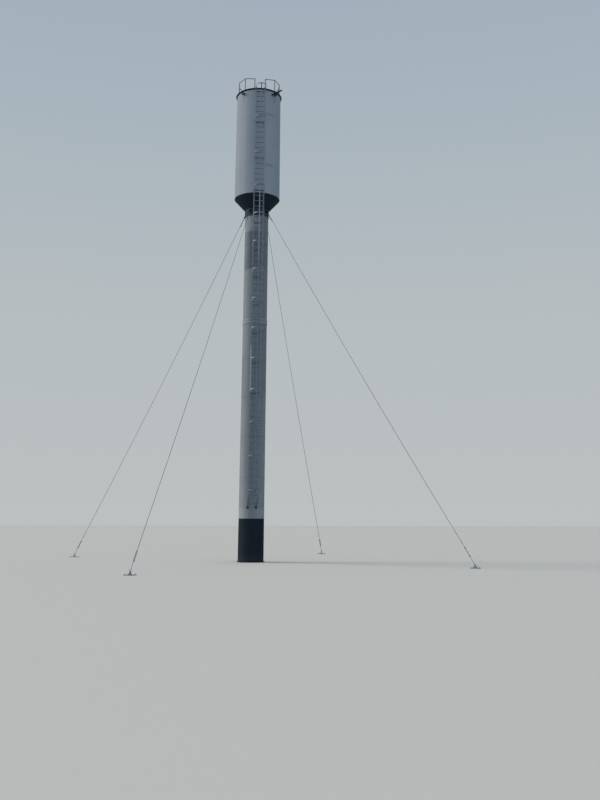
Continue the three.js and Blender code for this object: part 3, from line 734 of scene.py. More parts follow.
def anchorNut(spot, bolt):
    # washer, nut and stud end on one plate
    wall, height, radius = stud["washerWall"], bolt["nutHeight"], bolt["studRadius"]
    washer = turnedPart(discProfile(bolt["nutRadius"] * stud["washerReach"], 0.0, wall), stud["washerSides"],
                        spot=spot)
    nut = hexHead(bolt["nutRadius"], height, Vector(spot) + Vector((0.0, 0.0, wall + height / 2)))
    thread = threadProfile(radius * stud["core"], radius, height, bolt["studHeight"], stud["pitch"])
    return [washer, nut, turnedPart(thread, stud["sides"], spot=spot)]


def buildBasePlate():
    thickness, beadRadius = basePlate["thickness"], column["radius"] + basePlate["weldOut"]
    plate = turnedPart(discProfile(basePlate["radius"], 0.0, thickness), basePlate["sides"])
    bead = weldRing(beadRadius, thickness, basePlate["weld"], 2 * column["sides"])
    first = anchorNut((basePlate["boltCircle"], 0.0, thickness), basePlate["bolt"])
    parts = [bevelled(plate, basePlate["chamfer"]), bead] + allRound(first, basePlate["bolts"])
    onTower("basePlate", "base_plate", parts, darkCoat)


jointBand = {
    "radius": 0.522,
    "wall": 0.0117,
    "bottom": 9.495,
    "top": 9.745,
    "chamfer": 0.003,
    "weld": 0.006,
    "weldOut": 0.004,
    "lineHalf": 0.016,
}
jointLook = {
    **shellLook,
    "bottom": jointBand["bottom"],
    "top": jointBand["top"],
    "weep": 0.12,
    "pale": (0.390, 0.406, 0.412),
    "soiled": (0.300, 0.315, 0.322),
    "seam": 0.55,
}


def sleeve(form, beads):
    # a ring round the column, with a fillet bead at each of the heights
    ring = rolledShell(form["radius"], form["wall"], form["bottom"], form["top"], column["sides"],
                       form["chamfer"])
    fillet = column["radius"] + form["weldOut"]
    return [ring] + [weldRing(fillet, height, form["weld"], 2 * column["sides"]) for height in beads]


def buildJointBand():
    # a band with a bead at both ends and a soiled line round its middle
    middle, half = (jointBand["bottom"] + jointBand["top"]) / 2, jointBand["lineHalf"]
    line = (middle - half, middle + half, 0.006, -1.0, 1.0, 0.45, (0.10, 0.11, 0.12))
    paint = paleShellPaint("jointBandPaint", {**jointLook, "bands": [line]})
    parts = sleeve(jointBand, [jointBand["bottom"], jointBand["top"]])
    onTower("columnJointBand", "column_joint_band", parts, paint)


collar = {
    "radius": 0.530,
    "wall": 0.028,
    "bottom": 14.330,
    "top": 14.660,
    "chamfer": 0.003,
    "weld": 0.006,
    "weldOut": 0.004,
}


def buildCollar():
    onTower("columnCollar", "column_collar", sleeve(collar, [collar["bottom"]]), collarPaint)


buildColumn()
buildBasePlate()
buildJointBand()
buildCollar()
print("column built")

# tank

tank = {
    "radius": 1.000,
    "wall": 0.006,
    "sides": 128,
    "bottom": 15.200,
    "rimBottom": 20.190,
    "top": 20.245,
    "courses": 4,
    "weld": 0.0018,
    "beadGap": 0.004,
    "proud": 1.0003,
    "seamStart": 2.7,
    "seamTurn": 1.9,
}
tankLook = {
    **shellLook,
    "pale": (0.415, 0.438, 0.462),
    "soiled": (0.345, 0.370, 0.394),
    "dirt": (0.120, 0.130, 0.140),
    "streaky": 0.5,
    "blotchy": 0.45,
    "weep": 0.6,
    "wept": 0.03,
    "seam": 0.05,
    # painted light: a paler patch on the front to the right of the ladder; painted shade: the front's left
    # edge darker
    "stainsAndPaintedShading": [
        (10.0, 26.0, 0.20, 0.75, 0.90, (0.500, 0.525, 0.548)),
        (10.0, 26.0, -1.00, 0.45, 0.50, (0.300, 0.320, 0.335)),
    ],
}
# drips that single courses have besides
dripTone = (0.10, 0.105, 0.11)
tankDrips = {
    2: [(16.49, 16.61, 0.45, 0.40, 0.30, dripTone)],
    4: [
        (18.95, 19.08, 0.45, 0.40, 0.30, dripTone),
        (19.66, 20.00, -0.713, 0.05, 0.4, dripTone),
        (19.66, 20.00, 0.663, 0.05, 0.3, dripTone),
    ],
}
cone = {
    "footRadius": 0.520,
    "bottom": 14.660,
    "chamfer": 0.0015,
    "seams": 6,
    "seamStart": 0.35,
    "weld": 0.005,
    "beadGap": 0.004,
    "ringWeld": 0.006,
    "ringOut": 0.002,
    "ringSides": 192,
}


def buildCone():
    deselectAll()
    height, foot, gap = tank["bottom"] - cone["bottom"], cone["footRadius"], cone["beadGap"]
    bpy.ops.mesh.primitive_cone_add(vertices=tank["sides"], radius1=foot, radius2=tank["radius"],
                                    depth=height, end_fill_type="NOTHING",
                                    location=(0.0, 0.0, cone["bottom"] + height / 2))
    shell = modified(settled(), "SOLIDIFY", thickness=tank["wall"], offset=-1.0)
    ring = weldRing(foot + cone["ringOut"], cone["bottom"], cone["ringWeld"], cone["ringSides"])
    first = weldLine(polar(foot + gap, cone["seamStart"], cone["bottom"] + gap),
                     polar(tank["radius"] - gap, cone["seamStart"], tank["bottom"] - gap), cone["weld"])
    parts = [bevelled(shell, cone["chamfer"]), ring] + allRound([first], cone["seams"])
    onTower("tankCone", "tank_cone", parts, darkCoat)


def buildTankCourses():
    height = (tank["rimBottom"] - tank["bottom"]) / tank["courses"]
    for i in range(tank["courses"]):
        bottom = tank["bottom"] + height * i
        top = bottom + height
        parts = rolledCourse(tank, bottom, top, bottom, tank["seamStart"] + tank["seamTurn"] * i)
        stainsAndPaintedShading = tankLook["stainsAndPaintedShading"] + tankDrips.get(i + 1, [])
        look = {**tankLook, "bottom": bottom, "top": top, "stainsAndPaintedShading": stainsAndPaintedShading}
        paint = paleShellPaint(f"tankPaint{i + 1}", look)
        onTower(f"tankCourse{i + 1}", f"tank_course_{i + 1}", parts, paint)


rim = {
    "radius": 1.050,
    "wall": 0.006,
    "fillet": 0.004,
    "chamfer": 0.001,
    "weld": 0.006,
    "weldOut": 0.003,
}


def buildRim():
    # an angle bar rolled to a ring: its leg on the shell, its flange out level with the top
    leg, outer, wall, fillet = tank["radius"] + rim["wall"], rim["radius"], rim["wall"], rim["fillet"]
    inner, low, under = tank["radius"] - tank["wall"], tank["rimBottom"], tank["top"] - wall
    ring = turnedPart([(inner, low), (leg, low), (leg, under - fillet), (leg + fillet, under), (outer, under),
                       (outer, under + wall), (inner, under + wall), (inner, low)], tank["sides"])
    bead = weldRing(tank["radius"] + rim["weldOut"], low, rim["weld"], 2 * tank["sides"])
    onTower("tankRim", "tank_rim", [bevelled(ring, rim["chamfer"]), bead], darkCoat)


roof = {
    "radius": 1.020,
    "brim": 0.140,
    "rise": 0.090,
    "thickness": 0.005,
    "chamfer": 0.0015,
    "seams": 8,
    "seamStart": 0.2,
    "seamInner": 0.02,
    "weld": 0.005,
}


def roofHeight(radius):
    inner = roof["radius"] - roof["brim"]
    return tank["top"] + roof["thickness"] + roof["rise"] * max(0.0, 1.0 - radius / inner)


def buildRoof():
    # a flat brim and a shallow cone, with seams that run out from its tip
    outer, thickness = roof["radius"], roof["thickness"]
    inner, top = outer - roof["brim"], tank["top"] + thickness
    peak = top + roof["rise"]
    profile = [(outer, top - thickness), (outer, top), (inner, top), (inner * 0.5, roofHeight(inner * 0.5)),
               (0.0, peak), (0.0, peak - thickness), (inner, top - thickness), (outer, top - thickness)]
    plate = turnedPart(profile, tank["sides"])
    first = weldLine(polar(roof["seamInner"], roof["seamStart"], roofHeight(roof["seamInner"])),
                     polar(inner, roof["seamStart"], top), roof["weld"])
    parts = [bevelled(plate, roof["chamfer"])] + allRound([first], roof["seams"])
    onTower("tankRoof", "tank_roof", parts, darkCoat)


hatch = {
    "centreY": -0.420,
    "radius": 0.290,
    "wall": 0.006,
    "lidRadius": 0.310,
    "lidThickness": 0.008,
    "skirt": 0.018,
    "edge": 0.030,
    "edgeFall": 0.001,
    "chamfer": 0.0015,
    "top": 20.345,
    "sides": 64,
}
handle = {
    "half": 0.07,
    "rise": 0.045,
    "bend": 0.7,
    "crown": 0.8,
    "offset": -0.17,
    "radius": 0.007,
    "sides": 10,
    "sunk": 0.002,
}
hinge = {
    "spots": (-0.09, 0.09),
    "gap": 0.012,
    "pinHalf": 0.03,
    "pinRadius": 0.010,
    "pinSides": 12,
    "strapWidth": 0.04,
    "strapLength": 0.14,
    "strapWall": 0.005,
    "strapLift": 0.003,
    "boltsAt": (0.06, 0.11),
    "boltRadius": 0.008,
    "boltHeight": 0.006,
    "leafWidth": 0.05,
    "leafDrop": 0.06,
    "leafSetBack": 0.004,
    "leafWall": 0.006,
    "chamfer": 0.0008,
}


def hatchHandle():
    # a round bar bent to a grip, both feet in the lid
    half, y, foot = handle["half"], hatch["centreY"] + handle["offset"], hatch["top"] - handle["sunk"]
    bend, crown, inner = foot + handle["rise"] * handle["bend"], foot + handle["rise"], half * handle["crown"]
    line = [(-half, y, foot), (-half, y, bend), (-inner, y, crown), (inner, y, crown), (half, y, bend),
            (half, y, foot)]
    return roundBar(line, handle["radius"], handle["sides"])


def hatchHinge(x):
    # pin, strap over the lid with its bolts, and the leaf behind
    y, top = hatch["centreY"] + hatch["lidRadius"] + hinge["gap"], hatch["top"]
    pin = roundBar([(x - hinge["pinHalf"], y, top), (x + hinge["pinHalf"], y, top)], hinge["pinRadius"],
                   hinge["pinSides"])
    left, lift = x - hinge["strapWidth"] / 2, top + hinge["strapLift"]
    line = [(left, y, lift), (left, y - hinge["strapLength"], lift)]
    strap = flatBar(line, (hinge["strapWidth"], 0.0, 0.0), hinge["strapWall"], hinge["chamfer"])
    bolts = [hexHead(hinge["boltRadius"], hinge["boltHeight"], (x, y - at, lift + hinge["strapWall"]))
             for at in hinge["boltsAt"]]
    left, back = x - hinge["leafWidth"] / 2, y + hinge["leafSetBack"]
    line = [(left, back, top), (left, back, top - hinge["leafDrop"])]
    leaf = flatBar(line, (hinge["leafWidth"], 0.0, 0.0), hinge["leafWall"], hinge["chamfer"])
    return [pin, strap] + bolts + [leaf]


def buildHatch():
    centre, top, outer = (0.0, hatch["centreY"], 0.0), hatch["top"], hatch["lidRadius"]
    under, inner = top - hatch["lidThickness"], outer - hatch["wall"]
    low = under - hatch["skirt"]
    base = roofHeight(hatch["radius"] - hatch["centreY"])
    ring = placed(rolledShell(hatch["radius"], hatch["wall"], base, under, hatch["sides"]), 0.0, centre)
    profile = [(0.0, under), (inner, under), (inner, low), (outer, low), (outer, top - hatch["edgeFall"]),
               (outer - hatch["edge"], top), (0.0, top)]
    lid = turnedPart(profile, hatch["sides"], spot=centre)
    parts = [ring, bevelled(lid, hatch["chamfer"]), hatchHandle()]
    for x in hinge["spots"]:
        parts += hatchHinge(x)
    onTower("roofHatch", "roof_hatch", parts, darkCoat)


rail = {
    "top": 20.890,
    "radius": 0.950,
    "entryX": 0.240,
    "entryY": -0.710,
    "step": math.radians(30.0),
    "roundPosts": 5,
    "postRadius": 0.020,
    "sides": 20,
    "shoulder": 0.006,
    "shoulderIn": 0.003,
    "footRadius": 0.048,
    "footThickness": 0.008,
    "footSunk": 0.001,
    "edge": 0.002,
    "filletOut": 0.006,
    "filletUp": 0.007,
    "boltCircle": 0.036,
    "boltTurns": (0.8, 2.37, 3.94, 5.51),
    "boltRadius": 0.006,
    "boltHeight": 0.005,
    "barRadius": 0.017,
    "barSides": 14,
    "cap": 0.004,
    "beadDrops": (0.024, 0.020, 0.016),
    "beadOut": 0.003,
    "halfGap": 0.00015,
}


def railPost(x, y):
    # a post with a rounded head on a round foot, and the foot's four bolts
    low, top = roofHeight(math.hypot(x, y)) - rail["footSunk"], rail["top"]
    r, flange, foot, edge = rail["postRadius"], rail["footRadius"], low + rail["footThickness"], rail["edge"]
    profile = [(0.0, low), (flange, low), (flange, foot - edge), (flange - edge, foot),
               (r + rail["filletOut"], foot), (r, foot + rail["filletUp"]), (r, top - rail["shoulder"]),
               (r - rail["shoulderIn"], top - edge), (r * 0.5, top), (0.0, top)]
    parts = [turnedPart(profile, rail["sides"], spot=(x, y, 0.0))]
    for turn in rail["boltTurns"]:
        spot = (x + rail["boltCircle"] * math.cos(turn), y + rail["boltCircle"] * math.sin(turn),
                foot + rail["boltHeight"] / 2)
        parts.append(hexHead(rail["boltRadius"], rail["boltHeight"], spot))
    return parts


def buildRail(side, name, node):
    # one half: its posts, the straight bars between them and a bead under each joint
    spots = [Vector((side * rail["entryX"], rail["entryY"], 0.0))]
    spots += [polar(rail["radius"], -math.pi / 2 + side * rail["step"] * (i + 0.5))
              for i in range(1, rail["roundPosts"] + 1)]
    parts = []
    for spot in spots:
        parts += railPost(spot.x, spot.y)
    barHeight = rail["top"] - rail["cap"] - rail["barRadius"]
    back = Vector((side * rail["halfGap"], rail["radius"] * math.cos(rail["step"] / 2), 0.0))
    line = [Vector((spot.x, spot.y, barHeight)) for spot in spots + [back]]
    parts += [roundBar(ends, rail["barRadius"], rail["barSides"]) for ends in zip(line, line[1:])]
    low, middle, high = [barHeight - drop for drop in rail["beadDrops"]]
    r = rail["postRadius"]
    bead = [(r, low), (r + rail["beadOut"], middle), (r, high), (r, low)]
    parts += [turnedPart(bead, rail["sides"], spot=(spot.x, spot.y, 0.0)) for spot in spots]
    onTower(name, node, parts, railPaint)


buildCone()
buildTankCourses()
buildRim()
buildRoof()
buildHatch()
buildRail(-1, "guardRailLeft", "guard_rail_left")
buildRail(1, "guardRailRight", "guard_rail_right")
print("tank built")

# ladder

ladder = {
    "y": -1.160,
    "halfWidth": 0.200,
    "stileWidth": 0.045,
    "stileWall": 0.005,
    "bottom": 2.400,
    "tops": [5.900, 9.625, 14.870, 20.245],
    "firstRung": 0.100,
    "rungStep": 0.250,
    "rungRadius": 0.010,
    "rungSides": 12,
    "rungFillet": 0.008,
    "rungSwell": (1.7, 1.25),
    "rungSunk": 0.001,
    "rounding": 0.001,
    "columnHoops": [2.690, 3.960, 5.265, 6.535, 7.785, 9.035, 10.265, 11.515, 12.715, 13.950],
    "tankHoops": [15.235, 16.775, 18.475, 20.015],
    "paleBelow": 6.0,
}
bracket = {
    "wall": 0.008,
    "height": 0.040,
    "footHalf": 0.115,
    "inset": 0.006,
    "setBack": 0.008,
    "weld": 0.0045,
    "weldSides": 6,
    "weldOut": 0.001,
    "weldShare": 0.8,
    "edge": 0.006,
    "sunk": 0.003,
    "tieBack": 0.042,
    "tieWall": 0.006,
}
splice = {
    "half": 0.09,
    "wall": 0.006,
    "inset": 0.003,
    "start": 0.008,
    "end": 0.043,
    "boltsAt": (-0.065, -0.025, 0.025, 0.065),
    "boltBack": 0.026,
    "boltOut": 0.002,
    "boltRadius": 0.009,
    "boltHeight": 0.006,
}
ladderSide = ladder["halfWidth"] + ladder["stileWidth"] / 2
ladderFront = ladder["y"] - ladder["stileWidth"] / 2
bracketEnd = (ladderSide - bracket["inset"], ladder["y"] + bracket["setBack"])


def angleStile(side, bottom, top):
    half = ladder["stileWall"] / 2
    inner, corner = side * (ladderSide - ladder["stileWidth"]), side * (ladderSide - half)
    bar = flatBar([(inner, ladderFront + half, bottom), (corner, ladderFront + half, bottom),
                   (corner, ladderFront + ladder["stileWidth"], bottom)], (0.0, 0.0, top - bottom),
                  ladder["stileWall"])
    return painted(bar, stilePaints[side])


def stileSplice(side, height):
    # a plate inside the angle, over the joint, and its four bolts
    x, low = side * (ladderSide - ladder["stileWall"] - splice["inset"]), height - splice["half"]
    plate = flatBar([(x, ladderFront + splice["start"], low), (x, ladderFront + splice["end"], low)],
                    (0.0, 0.0, 2 * splice["half"]), splice["wall"])
    boltX, boltY = side * (ladderSide + splice["boltOut"]), ladderFront + splice["boltBack"]
    bolts = [hexHead(splice["boltRadius"], splice["boltHeight"], (boltX, boltY, height + at), rightward)
             for at in splice["boltsAt"]]
    return [painted(part, stilePaints[side]) for part in [plate] + bolts]


def weldedRung(height):
    # a round bar with a fillet of weld at either end
    reach = ladderSide - ladder["stileWall"] + ladder["rungSunk"]
    r, fillet, length = ladder["rungRadius"], ladder["rungFillet"], 2 * reach
    widest, wide = [r * swell for swell in ladder["rungSwell"]]
    profile = [(0.0, 0.0), (widest, 0.0), (wide, fillet / 2), (r, fillet), (r, length - fillet),
               (wide, length - fillet / 2), (widest, length), (0.0, length)]
    return turnedPart(profile, ladder["rungSides"], rightward, (-reach, ladder["y"], height))


def columnBracket(height):
    # one flat bar: bent round the column's front, its arms out to the stiles
    radius = column["radius"] + bracket["wall"] / 2
    spread = math.asin(bracket["footHalf"] / radius)
    low = height - bracket["height"] / 2
    ends = [(side * bracketEnd[0], bracketEnd[1], low) for side in (-1, 1)]
    points = ends[:1] + arcAt(radius, -math.pi / 2, spread, 4, low) + ends[1:]
    parts = [flatBar(points, (0.0, 0.0, bracket["height"]), bracket["wall"])]
    beadRadius, beadSpread = column["radius"] + bracket["weldOut"], spread * bracket["weldShare"]
    for edge in (low, low + bracket["height"]):
        bead = arcAt(beadRadius, -math.pi / 2, beadSpread, 6, edge)
        parts.append(roundBar(bead, bracket["weld"], bracket["weldSides"]))
    return parts


def tankBracket(height):
    # a tie behind the stiles, and a flat bar from each of them to the tank
    low, rise = height - bracket["height"] / 2, (0.0, 0.0, bracket["height"])
    x, tieY = bracketEnd[0], ladder["y"] + bracket["tieBack"]
    onTank = frontOf(tank["radius"], x) + bracket["sunk"]
    parts = [flatBar([(-x, tieY, low), (x, tieY, low)], rise, bracket["tieWall"])]
    for side in (-1, 1):
        arm = [(side * x, bracketEnd[1], low), (side * x, onTank, low)]
        parts.append(flatBar(arm, rise, bracket["wall"]))
        for shift in (-bracket["edge"], bracket["edge"]):
            edge = side * x + shift
            spot = frontOf(tank["radius"], edge)
            bead = [(edge, spot, low), (edge, spot, low + bracket["height"])]
            parts.append(roundBar(bead, bracket["weld"], bracket["weldSides"]))
    return parts


def buildLadder():
    # each section: two stiles, its rungs, its brackets and the splices at its top
    bottom, lowest, step = ladder["bottom"], ladder["bottom"] + ladder["firstRung"], ladder["rungStep"]
    hoops = ladder["columnHoops"] + ladder["tankHoops"]
    for i, top in enumerate(ladder["tops"]):
        parts = [angleStile(side, bottom, top) for side in (-1, 1)]
        first = lowest + step * max(0, math.ceil((bottom - lowest) / step - ladder["rounding"]))
        count = math.ceil((top - first) / step - ladder["rounding"])
        rungs = modified(weldedRung(first), "ARRAY", count=count, use_relative_offset=False,
                         use_constant_offset=True, constant_offset_displace=(0.0, 0.0, step))
        parts.append(painted(rungs, rungPaint))
        for height in [hoop for hoop in hoops if bottom < hoop < top]:
            bars = columnBracket(height) if height < tank["bottom"] else tankBracket(height)
            paint = paleBracketPaint if height < ladder["paleBelow"] else bracketPaint
            parts += [painted(bar, paint) for bar in bars]
        if i < len(ladder["tops"]) - 1:
            parts += stileSplice(-1, top) + stileSplice(1, top)
        onTower(f"ladderSection{i + 1}", f"ladder_section_{i + 1}", parts)
        bottom = top


foot = {
    "topZ": 2.440,
    "footZ": 2.050,
    "topHalf": 0.190,
    "footHalf": 0.165,
    "lean": -0.020,
    "width": 0.044,
    "wall": 0.010,
    "topY": -1.1732,
    "tieZ": 2.180,
    "tieHeight": 0.030,
    "strutSunk": 0.004,
    "padWidth": 0.110,
    "padHeight": 0.090,
    "padWall": 0.012,
    "padChamfer": 0.0015,
    "boltTurns": (-0.7, 0.7),
    "boltRises": (-0.028, 0.028),
    "boltRadius": 0.009,
    "boltHeight": 0.007,
    "boltOut": 0.003,
}


def footLeg(side):
    # a strut down to its pad on the column, and the pad's four bolts
    radius, wall, half = column["radius"], foot["padWall"], foot["width"] / 2
    footX, topX = side * foot["footHalf"] + foot["lean"], side * foot["topHalf"]
    footY = frontOf(radius, footX) - wall + foot["strutSunk"]
    strut = flatBar([(topX - half, foot["topY"], foot["topZ"]), (footX - half, footY, foot["footZ"])],
                    (foot["width"], 0.0, 0.0), foot["wall"])
    spread, middle = foot["padWidth"] / 2 / radius, -math.pi / 2 + math.asin(footX / radius)
    arc = arcAt(radius + wall / 2, middle, spread, 3, foot["footZ"] - foot["padHeight"] / 2)
    parts = [strut, flatBar(arc, (0.0, 0.0, foot["padHeight"]), wall, foot["padChamfer"])]
    for out in [polar(1.0, middle + spread * turn) for turn in foot["boltTurns"]]:
        for rise in foot["boltRises"]:
            spot = out * (radius + wall + foot["boltOut"]) + Vector((0.0, 0.0, foot["footZ"] + rise))
            parts.append(hexHead(foot["boltRadius"], foot["boltHeight"], spot, out))
    return parts


def buildFoot():
    # two legs and the tie between them
    parts = footLeg(-1) + footLeg(1)
    share = (foot["topZ"] - foot["tieZ"]) / (foot["topZ"] - foot["footZ"])
    tieY = foot["topY"] + share * (-column["radius"] - foot["topY"])
    low, shift, half = foot["tieZ"] - foot["tieHeight"] / 2, foot["lean"] * share, foot["footHalf"]
    tie = [(shift - half, tieY, low), (shift + half, tieY, low)]
    parts.append(flatBar(tie, (0.0, 0.0, foot["tieHeight"]), foot["wall"]))
    onTower("ladderFoot", "ladder_foot", parts, footPaint)


cage = {
    "depth": 0.790,
    "wall": 0.006,
    "height": 0.040,
    "arcSteps": 28,
    "stripSetBack": 0.024,
    "stripSunk": 0.0005,
    "split": 9.625,
    "boltShift": 0.012,
    "boltOut": 0.0025,
    "boltRadius": 0.008,
    "boltHeight": 0.006,
    "rivetOut": 0.005,
    "rivetHeight": 0.005,
}
cageArc = ladder["y"] - cage["depth"] + ladderSide + cage["wall"]


def cageHoop(height):
    # a flat bar bent to a deep U, bolted to both stiles and riveted to the strips
    middle, low = ladderSide + cage["wall"] / 2, height - cage["height"] / 2
    back = ladder["y"] + ladder["stileWidth"] / 2
    turns = [-math.pi * i / cage["arcSteps"] for i in range(cage["arcSteps"] + 1)]
    arc = [(middle * math.cos(turn), cageArc + middle * math.sin(turn), low) for turn in turns]
    parts = [flatBar([(middle, back, low)] + arc + [(-middle, back, low)], (0.0, 0.0, cage["height"]),
                     cage["wall"])]
    for side in (-1, 1):
        for shift in (-cage["boltShift"], cage["boltShift"]):
            spot = (side * (middle + cage["wall"] / 2 + cage["boltOut"]), ladder["y"] + shift, height)
            parts.append(hexHead(cage["boltRadius"], cage["boltHeight"], spot, rightward))
    out, stripY = middle + cage["rivetOut"], cageArc + cage["stripSetBack"]
    rivets = [((-out, stripY, height), rightward), ((out, stripY, height), rightward),
              ((0.0, cageArc - middle - cage["rivetOut"], height), (0.0, 1.0, 0.0))]
    return parts + [hexHead(cage["boltRadius"], cage["rivetHeight"], spot, along) for spot, along in rivets]


def cageStrips(bottom, top):
    # left, right and front, inside the hoops
    inner, half = ladderSide - cage["wall"] / 2 + cage["stripSunk"], cage["height"] / 2
    stripY = cageArc + cage["stripSetBack"]
    lines = [[(x, stripY - half, bottom), (x, stripY + half, bottom)] for x in (-inner, inner)]
    lines.append([(-half, cageArc - inner, bottom), (half, cageArc - inner, bottom)])
    return [flatBar(line, (0.0, 0.0, top - bottom), cage["wall"]) for line in lines]


def buildCage(name, node, bottom, top):
    heights = [z for z in ladder["columnHoops"] + ladder["tankHoops"] if bottom < z < top]
    hoop = [painted(part, hoopPaint) for part in cageHoop(heights[0])]
    paints = (sideStripShadePaint, sideStripShadePaint, frontStripPaint)
    parts = hoop + [painted(strip, paint) for strip, paint in zip(cageStrips(bottom, top), paints)]
    for height in heights[1:]:
        parts += [copied(part, 0.0, (0.0, 0.0, height - heights[0])) for part in hoop]
    onTower(name, node, parts)


buildLadder()
buildFoot()
cageFoot = ladder["columnHoops"][0] - cage["height"] / 2
cageHead = ladder["tankHoops"][-1] + cage["height"] / 2
buildCage("safetyCageLower", "safety_cage_lower", cageFoot, cage["split"])
buildCage("safetyCageUpper", "safety_cage_upper", cage["split"], cageHead)
print("ladder built")

# fittings under the rim; their fillets of weld are pairs of how far out and how far along

trunnion = {
    "drop": 0.185,
    "length": 0.100,
    "radius": 0.055,
    "discRadius": 0.075,
    "discWall": 0.010,
    "edge": 0.002,
    "fillet": [(0.009, 0.0), (0.008, 0.005), (0.002, 0.010), (0.0, 0.013)],
    "neck": (0.003, 0.004),
    "dimple": (0.012, 0.010),
    "dimpleDepth": 0.003,
    "sides": 40,
    "seat": 0.9972,
    "leftAzimuth": math.radians(224.5),
    "rightAzimuth": math.radians(311.5),
}


def buildTrunnion(name, node, azimuth):
    # a stub with a fillet of weld at the shell, a disc at its end and a shallow dimple in the disc
    end, edge, r, disc = trunnion["length"], trunnion["edge"], trunnion["radius"], trunnion["discRadius"]
    back, deep = end - trunnion["discWall"], end - trunnion["dimpleDepth"]
    (neckOut, neckUp), (dimpleTop, dimpleFoot) = trunnion["neck"], trunnion["dimple"]
    profile = [(0.0, 0.0)] + [(r + out, up) for out, up in trunnion["fillet"]]
    profile += [(r, back - neckUp), (r + neckOut, back), (disc - edge, back), (disc, back + edge),
                (disc, end - edge), (disc - edge, end), (dimpleTop, end), (dimpleFoot, deep), (0.0, deep)]
    spot = polar(trunnion["seat"], azimuth, tank["top"] - trunnion["drop"])
    stub = turnedPart(profile, trunnion["sides"], polar(1.0, azimuth), spot)
    onTower(name, node, [stub], fittingPaint)


overflow = {
    "radius": 0.032,
    "bore": 0.027,
    "edge": 0.0015,
    "fillet": [(0.0, 0.013), (0.002, 0.010), (0.007, 0.005), (0.008, 0.0)],
    "sides": 32,
    "length": 0.700,
    "mouthIn": 0.003,
    "fall": 0.050,
    "blind": 0.020,
    "drop": 0.213,
    "seat": 0.996,
    "azimuth": math.radians(303.5),
}


def buildOverflow():
    # a pipe that falls a little outwards, with a fillet of weld at the shell
    root = polar(overflow["seat"], overflow["azimuth"], tank["top"] - overflow["drop"])
    reach = tank["radius"] + overflow["length"] - overflow["mouthIn"]
    mouth = polar(reach, overflow["azimuth"], root.z - overflow["fall"])
    r, bore, blind, edge = overflow["radius"], overflow["bore"], overflow["blind"], overflow["edge"]
    end = (mouth - root).length
    profile = [(0.0, blind), (bore, blind), (bore, end - edge), (bore + edge, end), (r - edge, end),
               (r, end - edge)] + [(r + out, up) for out, up in overflow["fillet"]] + [(0.0, 0.0)]
    pipe = turnedPart(profile, overflow["sides"], (mouth - root).normalized(), root)
    onTower("overflowPipe", "overflow_pipe", [pipe], darkCoat)


buildTrunnion("liftingTrunnionLeft", "lifting_trunnion_left", trunnion["leftAzimuth"])
buildTrunnion("liftingTrunnionRight", "lifting_trunnion_right", trunnion["rightAzimuth"])
buildOverflow()

# guys

guy = {
    "lugAzimuths": [-45.0, 45.0, 146.25, 236.25],
    "anchorAzimuths": [-34.5, 64.4, 145.5, 243.5],
    "anchorRadius": 9.100,
    "lugHeight": 14.490,
    "lugReach": 0.630,
    "lugBelow": 0.052,
    "lugAbove": 0.150,
    "lugSunk": 0.003,
    "weld": 0.005,
    "weldOut": 0.001,
    "plate": 0.016,
    "eye": 0.015,
    "eyeSides": 24,
    "eyeEdge": 0.032,
    "arcSteps": 10,
    "drillLength": 0.1,
    "ropeRadius": 0.007,
    "tailPoints": 24,
    "clipsAt": (0.07, 0.19, 0.31),
    "ringRadius": 0.038,
    "ringSteps": 40,
    "ringSides": 12,
    "ringSegments": 12,
    "sag": 0.140,
    "lay": 0.150,
    "lobes": 6,
    "valley": 0.78,
    "stepsPerLay": 8,
    "overlap": 0.004,
    "gap": 0.0003,
    "anchorHalf": 0.150,
    "anchorWall": 0.012,
    "anchorChamfer": 0.002,
    "anchorBoltOut": 0.115,
    "anchorBolt": {"nutRadius": 0.017, "nutHeight": 0.015, "studRadius": 0.010, "studHeight": 0.030},
    "earHalf": 0.090,
    "earSunk": 0.001,
    "anchorEye": 0.095,
}
tensioner = {
    "length": 0.860,
    "bodyStart": 0.258,
    "bodyEnd": 0.602,
    "screw": 0.009,
    "threadStart": 0.10,
    "threadEnd": 0.74,
    "pitch": 0.004,
    "core": 0.86,
    "headStart": 0.75,
    "headEdge": 0.002,
    "head": 1.5,
    "nut": 0.030,
    "nutLength": 0.040,
    "lockNut": 1.9,
    "lockLength": 0.012,
    "lockGap": 0.007,
    "sideBar": 0.007,
    "sideOffset": 0.020,
    "sides": 12,
}


def eyeArc(x, z, start, end):
    steps = guy["arcSteps"]
    angles = [math.radians(start + (end - start) * i / steps) for i in range(steps + 1)]
    return [(x + guy["eyeEdge"] * math.cos(a), 0.0, z + guy["eyeEdge"] * math.sin(a)) for a in angles]


def eyeDrill(x, z):
    deselectAll()
    bpy.ops.mesh.primitive_cylinder_add(vertices=guy["eyeSides"], radius=guy["eye"], depth=guy["drillLength"],
                                        location=(x, 0.0, z), rotation=(math.pi / 2, 0.0, 0.0))
    return settled()


def eyePlate(outline, x, z):
    return drilled(cutPlate(outline, guy["plate"]), eyeDrill(x, z))


def plateWelds(start, end):
    # a bead down either face of an eye plate
    out = guy["plate"] / 2 + guy["weldOut"]
    return [weldLine((start[0], side * out, start[1]), (end[0], side * out, end[1]), guy["weld"])
            for side in (-1, 1)]


def buildLug(number, azimuth):
    root = collar["radius"] - guy["lugSunk"]
    low, high = guy["lugHeight"] - guy["lugBelow"], guy["lugHeight"] + guy["lugAbove"]
    arc = eyeArc(guy["lugReach"], guy["lugHeight"], -80.0, 70.0)
    outline = [(root, 0.0, low)] + arc + [(root, 0.0, high)]
    parts = [eyePlate(outline, guy["lugReach"], guy["lugHeight"])]
    parts += plateWelds((collar["radius"], low), (collar["radius"], high))
    parts = [placed(part, azimuth) for part in parts]
    onTower(f"guyLug{number}", f"guy_lug_{number}", parts, darkCoat)


